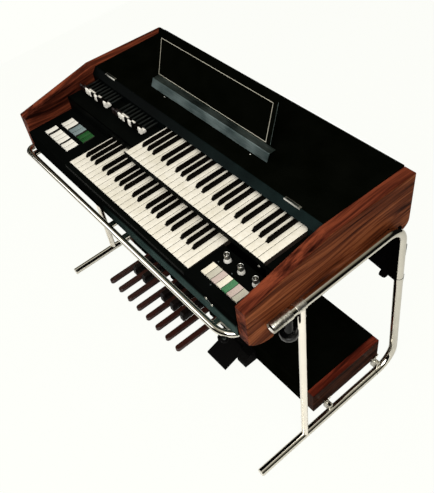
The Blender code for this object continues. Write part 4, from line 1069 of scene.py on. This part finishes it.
for side in SIDES:
    centre = (on_side(side, FRAME_X), 0.0, TUBE_Z)
    # black plug in the bore: painted shade
    piece(side + "_sleeve_painted_shade_plug", turned(BORE_SHADE_PLUG, centre, "Y"), RUBBER)
    # white strip on the bore's lower inner wall: painted reflection
    t = np.radians(np.linspace(*REFLECTION_ARC, 13))
    wall = np.stack([np.cos(t), np.sin(t) * (1 if side == "right" else -1)], axis=1)
    arc = np.vstack([REFLECTION_OUTER * wall, REFLECTION_INNER * wall[::-1]]) + np.array([TUBE_Z, centre[0]])
    piece(side + "_sleeve_painted_reflection", slab(arc, REFLECTION_FRONT, REFLECTION_BACK, 0.0, "Y"), WHITE,
          crease=CRISP)
    piece(side + "_sleeve", turned(SLEEVE, centre, "Y", 48), WORN)
    piece(side + "_collar", turned(COLLAR, centre, "Y", 48), WORN)
print("sleeves", len(SIDES))

# %% [markdown]
# The leg and the foot are joined to the frame by hidden plugs, which show as a thin dark line round the
# tube. Two rubber buffers sit on the rear leg, and a hexagon bolt holds the strut.

# %% Joints, buffers and bolts
SEAM_Z = (-0.2820, -0.2836)
SEAM_RADIUS = 0.0140
FOOT_JOINT_Y = (0.4870, 0.4850)
FOOT_JOINT_RADIUS = 0.01372
BUFFER_RIM = 0.0012
UPPER_BUFFER = (0.0050, 0.5500, 0.5548, -0.2130, -0.1420)
LOWER_BUFFER = (0.0045, 0.5585, 0.5645, -0.3440, -0.2850)
BOLT = [(CORE, 0.1560), (0.0050, 0.1560), (0.0052, 0.1600), (0.0036, 0.1618), (CORE, 0.1620)]
BOLT_Z = -0.1020


def leg_y(z):
    """The rear leg leans back evenly from its top to the foot."""
    return LEG_TOP_Y + (LEG_FOOT_Y - LEG_TOP_Y) * (TUBE_Z - z) / (TUBE_Z - FOOT_Z)


for side in SIDES:
    x = on_side(side, FRAME_X)
    seam = tube([(x, leg_y(z), z) for z in SEAM_Z], SEAM_RADIUS)
    piece(side + "_leg_seam", seam, IRON)
    buffers = [slab(rectangle(x - half, x + half, y0, y1), z0, z1, BUFFER_RIM)
               for half, y0, y1, z0, z1 in (UPPER_BUFFER, LOWER_BUFFER)]
    piece(side + "_leg_buffers", buffers, RUBBER)
    bolt = turned(BOLT, (x, 0.0, BOLT_Z), "Y", 6)
    piece(side + "_strut_bolt", bolt, STEEL, crease=CRISP)
    joint = tube([(x, y, FOOT_Z) for y in FOOT_JOINT_Y], FOOT_JOINT_RADIUS)
    piece(side + "_foot_joint", joint, IRON)
print("leg leans back", round(leg_y(FOOT_Z) - leg_y(TUBE_Z), 3))

# %% [markdown]
# A triangular web of black japanned steel stiffens the rear corner of each frame, with a domed screw cap
# on its lower edge. Short black angle brackets reach in from the top run under the cheek.

# %% Webs and brackets
WEB = [(0.3850, TUBE_Z), (0.5200, TUBE_Z), (0.5440, -0.2900), (0.5280, -0.2900), (0.3850, -0.0620)]
WEB_HALF = 0.0030
WEB_RIM = 0.0006
CAP = [(CORE, 0.0110), (0.0080, 0.0105), (0.0120, 0.0080), (0.0135, 0.0030), (0.0135, -0.0080),
       (CORE, -0.0100)]
CAP_Y, CAP_Z = 0.4700, -0.2010
BRACKET_SIDE = 0.85465
BRACKET_REACH = 0.7960
BRACKET_FOOT = -0.1063
BRACKET_WALL = 0.0040
BRACKET_RIM = 0.0004
BRACKET_PLACES = ((0.0800, 0.1600), (0.4300, 0.4900))

for side in SIDES:
    x = on_side(side, FRAME_X)
    web = slab(WEB, x - WEB_HALF, x + WEB_HALF, WEB_RIM, "X")
    piece(side + "_corner_web", [web, turned(CAP, (x, CAP_Y, CAP_Z), "X", 32)], IRON)
    section = [(TUBE_Z, BRACKET_SIDE), (TUBE_Z, BRACKET_SIDE + BRACKET_WALL),
               (BRACKET_FOOT, BRACKET_SIDE + BRACKET_WALL), (BRACKET_FOOT, BRACKET_REACH),
               (BRACKET_FOOT + BRACKET_WALL, BRACKET_REACH), (BRACKET_FOOT + BRACKET_WALL, BRACKET_SIDE)]
    section = [(z, on_side(side, u)) for z, u in section]
    brackets = [slab(section, y0, y1, BRACKET_RIM, "Y") for y0, y1 in BRACKET_PLACES]
    piece(side + "_brackets", brackets, IRON)
print("brackets", 2 * len(BRACKET_PLACES))

# %% [markdown]
# Two chromed blocks on each foot tube clamp the cheek of the pedal box. A wing screw tightens each: a
# turned button with two short bent wings.

# %% Pedal clamps
CLAMP_Y = (0.2720, 0.5050)
CLAMP_IN = 0.8403
CLAMP_HALF = 0.0080
CLAMP_TOP = -0.7321
CLAMP_CORNER, CLAMP_RIM = 0.002, 0.0010
SCREW_X = 0.8505
SCREW = [(CORE, -0.7330), (0.0066, -0.7330), (0.0070, -0.7300), (0.0062, -0.7270), (0.0040, -0.7250),
         (0.0036, -0.7200), (CORE, -0.7195)]
WING = ((0.0015, -0.7235), (0.0110, -0.7215), (0.0165, -0.7130))
WING_BEND = 0.0060
WING_RADIUS = 0.0030

for side in SIDES:
    x0, x1 = sorted((on_side(side, FRAME_X), on_side(side, CLAMP_IN)))
    outlines = [rectangle(x0, x1, y - CLAMP_HALF, y + CLAMP_HALF, CLAMP_CORNER) for y in CLAMP_Y]
    blocks = [slab(outline, FOOT_Z, CLAMP_TOP, CLAMP_RIM) for outline in outlines]
    piece(side + "_pedal_clamps", blocks, CHROME)
    at = on_side(side, SCREW_X)
    screws = []
    for y in CLAMP_Y:
        screws.append(turned(SCREW, (at, y, 0.0), "Z", 24))
        for lean in (-1, 1):
            wing = [(at, y + lean * out, z) for out, z in WING]
            screws.append(tube(bent_path(wing, (WING_BEND,), 6), WING_RADIUS, 12))
    piece(side + "_pedal_wing_screws", screws, CHROME)
print("pedal clamps", 2 * len(CLAMP_Y))

# %% [markdown]
# The crossbar under the front edge is a thinner chromed tube. It ends against the left cheek, and turns in
# two easy bends under the right one. Stubs of the same tube hold it to the case, two of them side by side
# in the middle, and flat feet meet the brackets.

# %% Front crossbar
BAR_RADIUS = 0.0095
STUB_RADIUS = 0.0091
CASE_UNDER = -0.0736
BAR_GAP = 0.0003
BAR_Z = CASE_UNDER - BAR_GAP - BAR_RADIUS
BAR_Y = -0.0395
BAR_LEFT, BAR_RIGHT = -0.2718, 0.8055
LEFT_END_Y, BAR_BACK, STUB_BACK = -0.0134, 0.1650, 0.0300
CORNER_X, CORNER_Y = 0.7752, -0.0092
BAR_BENDS = (0.0220, 0.0700, 0.0320)
ARM_X = -0.2335
STUB_PLACES = (0.2490, 0.3200, 0.7400)
FOOT_Y = (0.1250, 0.1550)
BAR_FOOT_HALF = 0.0060
BAR_FOOT_CORNER = 0.002
BAR_FOOT_Z = -0.1022

corners = [(BAR_LEFT, LEFT_END_Y, BAR_Z), (BAR_LEFT, BAR_Y, BAR_Z), (CORNER_X, BAR_Y, BAR_Z),
           (BAR_RIGHT, CORNER_Y, BAR_Z), (BAR_RIGHT, BAR_BACK, BAR_Z)]
bars = [tube(bent_path(corners, BAR_BENDS), BAR_RADIUS, 28)]
bars.append(tube([(ARM_X, BAR_Y, BAR_Z), (ARM_X, BAR_BACK, BAR_Z)], STUB_RADIUS, 28))
bars += [tube([(x, BAR_Y, BAR_Z), (x, STUB_BACK, BAR_Z)], STUB_RADIUS, 24) for x in STUB_PLACES]
bars += [slab(rectangle(x - BAR_FOOT_HALF, x + BAR_FOOT_HALF, *FOOT_Y, BAR_FOOT_CORNER), BAR_FOOT_Z, BAR_Z)
         for x in (ARM_X, BAR_RIGHT)]
piece("crossbar_tube", bars, CHROME, stands_for=["front_crossbar"])
print("crossbar spans", round(BAR_RIGHT - BAR_LEFT, 3))

# %% [markdown]
# Behind the right-hand bend lies a ribbed clamp, whose seven ribs are a cosine on the radius of a turned
# pin. In the bend itself hangs a rubber glide with a dull steel button.

# %% Ribbed clamp and glide
CLAMP_START, CLAMP_LENGTH = 0.7460, 0.0340
RIB_CLAMP_Y = -0.0090
RIB_CREASE = 60.0
CLAMP_MEAN, CLAMP_RIB = 0.0078, 0.0011
CLAMP_RIBS = 7
GLIDE_PLACE = (0.7865, -0.0385, 0.0)
GLIDE = [(CORE, -0.1010), (0.0090, -0.1010), (0.0106, -0.0990), (0.0106, -0.0950), (0.0092, -0.0934),
         (CORE, -0.0932)]
BUTTON = [(CORE, -0.0932), (0.0056, -0.0932), (0.0052, -0.0922), (0.0030, -0.0917), (CORE, -0.0916)]

along = np.linspace(0.0, 1.0, 6 * CLAMP_RIBS + 1)
ridges = np.stack([CLAMP_MEAN + CLAMP_RIB * np.cos(2 * math.pi * CLAMP_RIBS * along),
                   CLAMP_START + CLAMP_LENGTH * along], axis=1)
ridges = np.vstack([[(CORE, CLAMP_START)], ridges, [(CORE, CLAMP_START + CLAMP_LENGTH)]])
clamp = turned(ridges, (0.0, RIB_CLAMP_Y, BAR_Z), "X")
piece("crossbar_ribbed_clamp", clamp, STEEL, crease=RIB_CREASE)
piece("crossbar_glide", turned(GLIDE, GLIDE_PLACE, sides=32), RUBBER)
piece("crossbar_glide_button", turned(BUTTON, GLIDE_PLACE, sides=24), DULL)
print("clamp profile points", len(ridges))

# %% [markdown]
# Each clamp knob is a moulded black wheel with a grip of shallow lobes round its rim. Its long hub goes
# up to the screw in the sleeve. The glossy moulding shows its round rim by the light it catches.

# %% Clamp knobs
WHEEL = [(CORE, -0.0536), (0.0038, -0.0538), (0.0039, -0.0622), (0.0100, -0.0622), (0.0108, -0.0634),
         (0.0112, -0.1120), (0.0125, -0.1138), (0.0160, -0.1146), (0.0215, -0.1144), (0.0246, -0.1160),
         (0.0256, -0.1190), (0.0256, -0.1260), (0.0248, -0.1292), (0.0225, -0.1308), (CORE, -0.1308)]
WHEEL_Y = 0.1019
WHEEL_LOBES = 12
LOBE_DEPTH = 0.012
WHEEL_RIM = (9, 13)

for side in SIDES:
    body = side + "_clamp_knob"
    wheel = turned(WHEEL, (on_side(side, FRAME_X), WHEEL_Y, 0.0), "Z", 96, WHEEL_LOBES, LOBE_DEPTH, WHEEL_RIM)
    piece(body + "_wheel", wheel, ABS, body, ROUNDED, [body])
print("clamp knobs", len(SIDES))

# %% [markdown]
# A silver line is let into the face of the music rest. A bright metal strip at its right edge is a painted
# highlight, the light caught by that edge. The rest leans back, so a strip is a rectangle in the leaning
# plane, a quarter of a millimetre proud of it. Two small pegs stand on the top in front of the ledge.

# %% Music rest line and pegs
REST_FOOT = np.array([0.3680, 0.1009])
REST_LEAN = 0.3228
REST_UP = np.array([REST_LEAN, 1.0]) / math.hypot(REST_LEAN, 1.0)
REST_OUT = np.array([-1.0, REST_LEAN]) / math.hypot(REST_LEAN, 1.0)
LINE_BACK, LINE_PROUD = -0.0004, 0.00025
LINE_LEFT, LINE_RIGHT = 0.0030, 0.5070
LINE_FOOT, LINE_START, LINE_END, LINE_TOP = 0.1275, 0.1290, 0.2376, 0.2392
LINE_WIDTH = 0.0016
EDGE_HIGHLIGHT_STRIP = (0.5234, 0.5248, 0.1290, 0.2470)
PEG = [(CORE, 0.1008), (0.0022, 0.1008), (0.0022, 0.1018), (0.0014, 0.1026), (CORE, 0.1028)]
PEG_PLACES = (0.0839, 0.4880)
PEG_Y = 0.3340


def rest_strip(x0, x1, z0, z1):
    """Strip on the leaning face: foot plus up times length plus out times height, at its four corners."""
    rings = []
    for out in (LINE_BACK, LINE_PROUD):
        ring = []
        for x, z in ((x0, z0), (x1, z0), (x1, z1), (x0, z1)):
            y, up = REST_FOOT + REST_UP * (z - REST_FOOT[1]) / REST_UP[1] + REST_OUT * out
            ring.append((x, y, up))
        rings.append(ring)
    return skin(rings)


line = [rest_strip(LINE_LEFT, LINE_RIGHT, LINE_END, LINE_TOP),
        rest_strip(LINE_LEFT, LINE_LEFT + LINE_WIDTH, LINE_START, LINE_END),
        rest_strip(LINE_RIGHT - LINE_WIDTH, LINE_RIGHT, LINE_START, LINE_END),
        rest_strip(LINE_LEFT, LINE_RIGHT, LINE_FOOT, LINE_START)]
piece("music_rest_line", line, BEIGE, crease=0)
# bright strip on the rest's right edge: painted highlight
piece("music_rest_painted_edge_highlight", rest_strip(*EDGE_HIGHLIGHT_STRIP), BRUSHED, crease=0)
pegs = [turned(PEG, (x, PEG_Y, 0.0), sides=20) for x in PEG_PLACES]
piece("music_rest_pegs", pegs, TURNED)
print("rest leans back", round(math.degrees(math.atan(REST_LEAN)), 1), "degrees")

# %% [markdown]
# The lid of the console is held at its front edge by two bright catches. Each is a bent hook of sheet
# metal, and a dark well in the top lets it through.

# %% Lid catches
CATCH_PLACES = (-0.1480, 0.7075)
HOOK = [(0.2872, 0.1009), (0.2872, 0.1022), (0.2792, 0.1022), (0.2768, 0.0994), (0.2777, 0.0986),
        (0.2797, 0.1009)]
HOOK_HALF, WELL_HALF = 0.0290, 0.0220
HOOK_RIM, WELL_RIM, WELL_CORNER = 0.0003, 0.0001, 0.001
WELL_FRONT, WELL_BACK = 0.2806, 0.2858
WELL_FLOOR, WELL_TOP = 0.1019, 0.10235

for k, x in enumerate(CATCH_PLACES):
    hook = slab(HOOK, x - HOOK_HALF, x + HOOK_HALF, HOOK_RIM, "X")
    piece("lid_catch_%d" % (k + 1), hook, STEEL, crease=CRISP)
    well = rectangle(x - WELL_HALF, x + WELL_HALF, WELL_FRONT, WELL_BACK, WELL_CORNER)
    well = slab(well, WELL_FLOOR, WELL_TOP, WELL_RIM)
    piece("lid_catch_well_%d" % (k + 1), well, DULL, crease=CRISP)
print("lid catches", len(CATCH_PLACES))

# %% [markdown]
# The last fittings are small and turned: the jewel of the pilot lamp, two screws with a link between them
# on the front plate, and three screws in the panels beside the tabs.

# %% Lamp and screws
LAMP = [(CORE, 0.1212), (0.0052, 0.1212), (0.0052, 0.1196), (0.0044, 0.1180), (0.0026, 0.1168),
        (CORE, 0.1164)]
LAMP_PLACE = (0.7530, 0.0, 0.0262)
FRONT_SCREW = [(CORE, -0.0206), (0.0026, -0.0204), (0.0040, -0.0192), (0.0042, -0.0179), (CORE, -0.0179)]
FRONT_SCREW_PLACES = ((0.7035, -0.0223), (0.7244, -0.0319))
LINK = [(-0.0246, 0.7046), (-0.0226, 0.7060), (-0.0300, 0.7226), (-0.0320, 0.7212)]
LINK_FRONT, LINK_BACK = -0.0190, -0.0179
LINK_RIM = 0.0003
PANEL_SCREW = [(CORE, -0.0008), (0.0016, -0.0009), (0.0024, -0.0016), (0.0024, -0.0024), (CORE, -0.0024)]
PANEL_SCREW_PLACES = ((0.6916, 0.0090), (0.6478, 0.0714), (0.7031, 0.0699))

piece("pilot_lamp", turned(LAMP, LAMP_PLACE, "Y", 32), STEEL)
for k, (x, z) in enumerate(FRONT_SCREW_PLACES):
    piece("front_screw_%d" % (k + 1), turned(FRONT_SCREW, (x, 0.0, z), "Y", 24), CHROME)
link = slab(LINK, LINK_FRONT, LINK_BACK, LINK_RIM, "Y")
piece("front_screw_link", link, DULL, crease=CRISP)
for k, (x, y) in enumerate(PANEL_SCREW_PLACES):
    screw = turned(PANEL_SCREW, (x, y, 0.0), sides=20)
    piece("panel_screw_%d" % (k + 1), screw, DULL)
print("screws", len(FRONT_SCREW_PLACES) + len(PANEL_SCREW_PLACES))

# %% [markdown]
# The floor is a pale sweep lit by soft boxes. Everything is lit at a plain level, so a colour renders
# about as it is written. For the camera alone the floor mixes its own lit shade with plain white, so that
# the backdrop reads as white paper and only a faint shadow of the organ stays on it. Chrome and lacquer
# still mirror the real lit floor. It ends 2.4 m out, so what lies near the horizon reflects dark.

# %% Floor
FLOOR_HALF = 2.4
PAPER = "#f6f6f1"
BACKDROP = "#fefffa"
WHITE_SHARE = 0.96

floor_mesh = bpy.data.meshes.new("studio_floor")
corners = [(FLOOR_HALF * x, FLOOR_HALF * y, 0) for x, y in ((-1, -1), (1, -1), (1, 1), (-1, 1))]
floor_mesh.from_pydata(corners, [], [(0, 1, 2, 3)])
floor = bpy.data.objects.new("studio_floor", floor_mesh)
bpy.context.scene.collection.objects.link(floor)
paper = bpy.data.materials.new("white_paper_sweep")
paper.use_nodes = True
tree = paper.node_tree
tree.nodes.clear()
matt = add(tree, "ShaderNodeBsdfDiffuse", {"Color": linear(PAPER)}).outputs[0]
glow = add(tree, "ShaderNodeEmission", {"Color": linear(BACKDROP), "Strength": 1.0}).outputs[0]
seen = add(tree, "ShaderNodeLightPath").outputs["Is Camera Ray"]
share = add(tree, "ShaderNodeMath", {0: seen, 1: WHITE_SHARE}, operation="MULTIPLY").outputs[0]
both = add(tree, "ShaderNodeMixShader", {0: share, 1: matt, 2: glow}).outputs[0]
add(tree, "ShaderNodeOutputMaterial", {"Surface": both})
floor_mesh.materials.append(paper)
print("floor is", 2 * FLOOR_HALF, "m square")

# %% [markdown]
# Two soft boxes give the light: a large one high on the right front, and a weaker one on the left that
# opens up the shadows.

# %% Soft boxes


def soft_box(name, place, aim, size, power):
    """Square area lamp whose minus Z axis points from its place to its aim."""
    data = bpy.data.lights.new(name, "AREA")
    data.shape = "SQUARE"
    data.size = size
    data.energy = power
    lamp = bpy.data.objects.new(name, data)
    lamp.location = place
    direction = np.array(aim, float) - np.array(place, float)
    yaw = math.atan2(direction[1], direction[0])
    pitch = math.atan2(-direction[2], math.hypot(direction[0], direction[1]))
    lamp.rotation_euler = Euler((0.0, pitch - math.pi / 2, yaw), "XYZ")
    bpy.context.scene.collection.objects.link(lamp)


soft_box("key_soft_box", place=(1.9, -1.5, 3.3), aim=(0.0, 0.0, 0.6), size=2.8, power=136.0)
soft_box("fill_soft_box", place=(-2.2, -2.6, 2.4), aim=(0.0, 0.0, 0.5), size=2.2, power=50.0)
print("lights", len(bpy.data.lights))

# %% [markdown]
# The world is what polished metal mirrors. It is dark from the horizon up to about thirty degrees, olive
# grey above that and bright straight overhead, like a studio with one lit ceiling. A tube then shows a
# bright core between dark bands. The camera alone sees the world as white paper.

# %% World
SKY = ((0.0, "#101110"), (0.52, "#101110"), (0.64, "#6d6a5d"), (0.86, "#a29e90"), (0.96, "#f2efe6"))

world = bpy.data.worlds.new("studio")
bpy.context.scene.world = world
world.use_nodes = True
tree = world.node_tree
tree.nodes.clear()
toward = add(tree, "ShaderNodeTexCoord").outputs["Generated"]
height = add(tree, "ShaderNodeSeparateXYZ", {0: toward}).outputs["Z"]
dim = add(tree, "ShaderNodeBackground", {"Color": ramp(tree, height, SKY), "Strength": 1.0}).outputs[0]
white = add(tree, "ShaderNodeBackground", {"Color": linear(BACKDROP), "Strength": 1.0}).outputs[0]
rays = add(tree, "ShaderNodeLightPath").outputs["Is Camera Ray"]
both = add(tree, "ShaderNodeMixShader", {0: rays, 1: dim, 2: white}).outputs[0]
add(tree, "ShaderNodeOutputWorld", {"Surface": both})
print("world turns from dark at", round(math.degrees(math.asin(SKY[1][0]))), "degrees up")
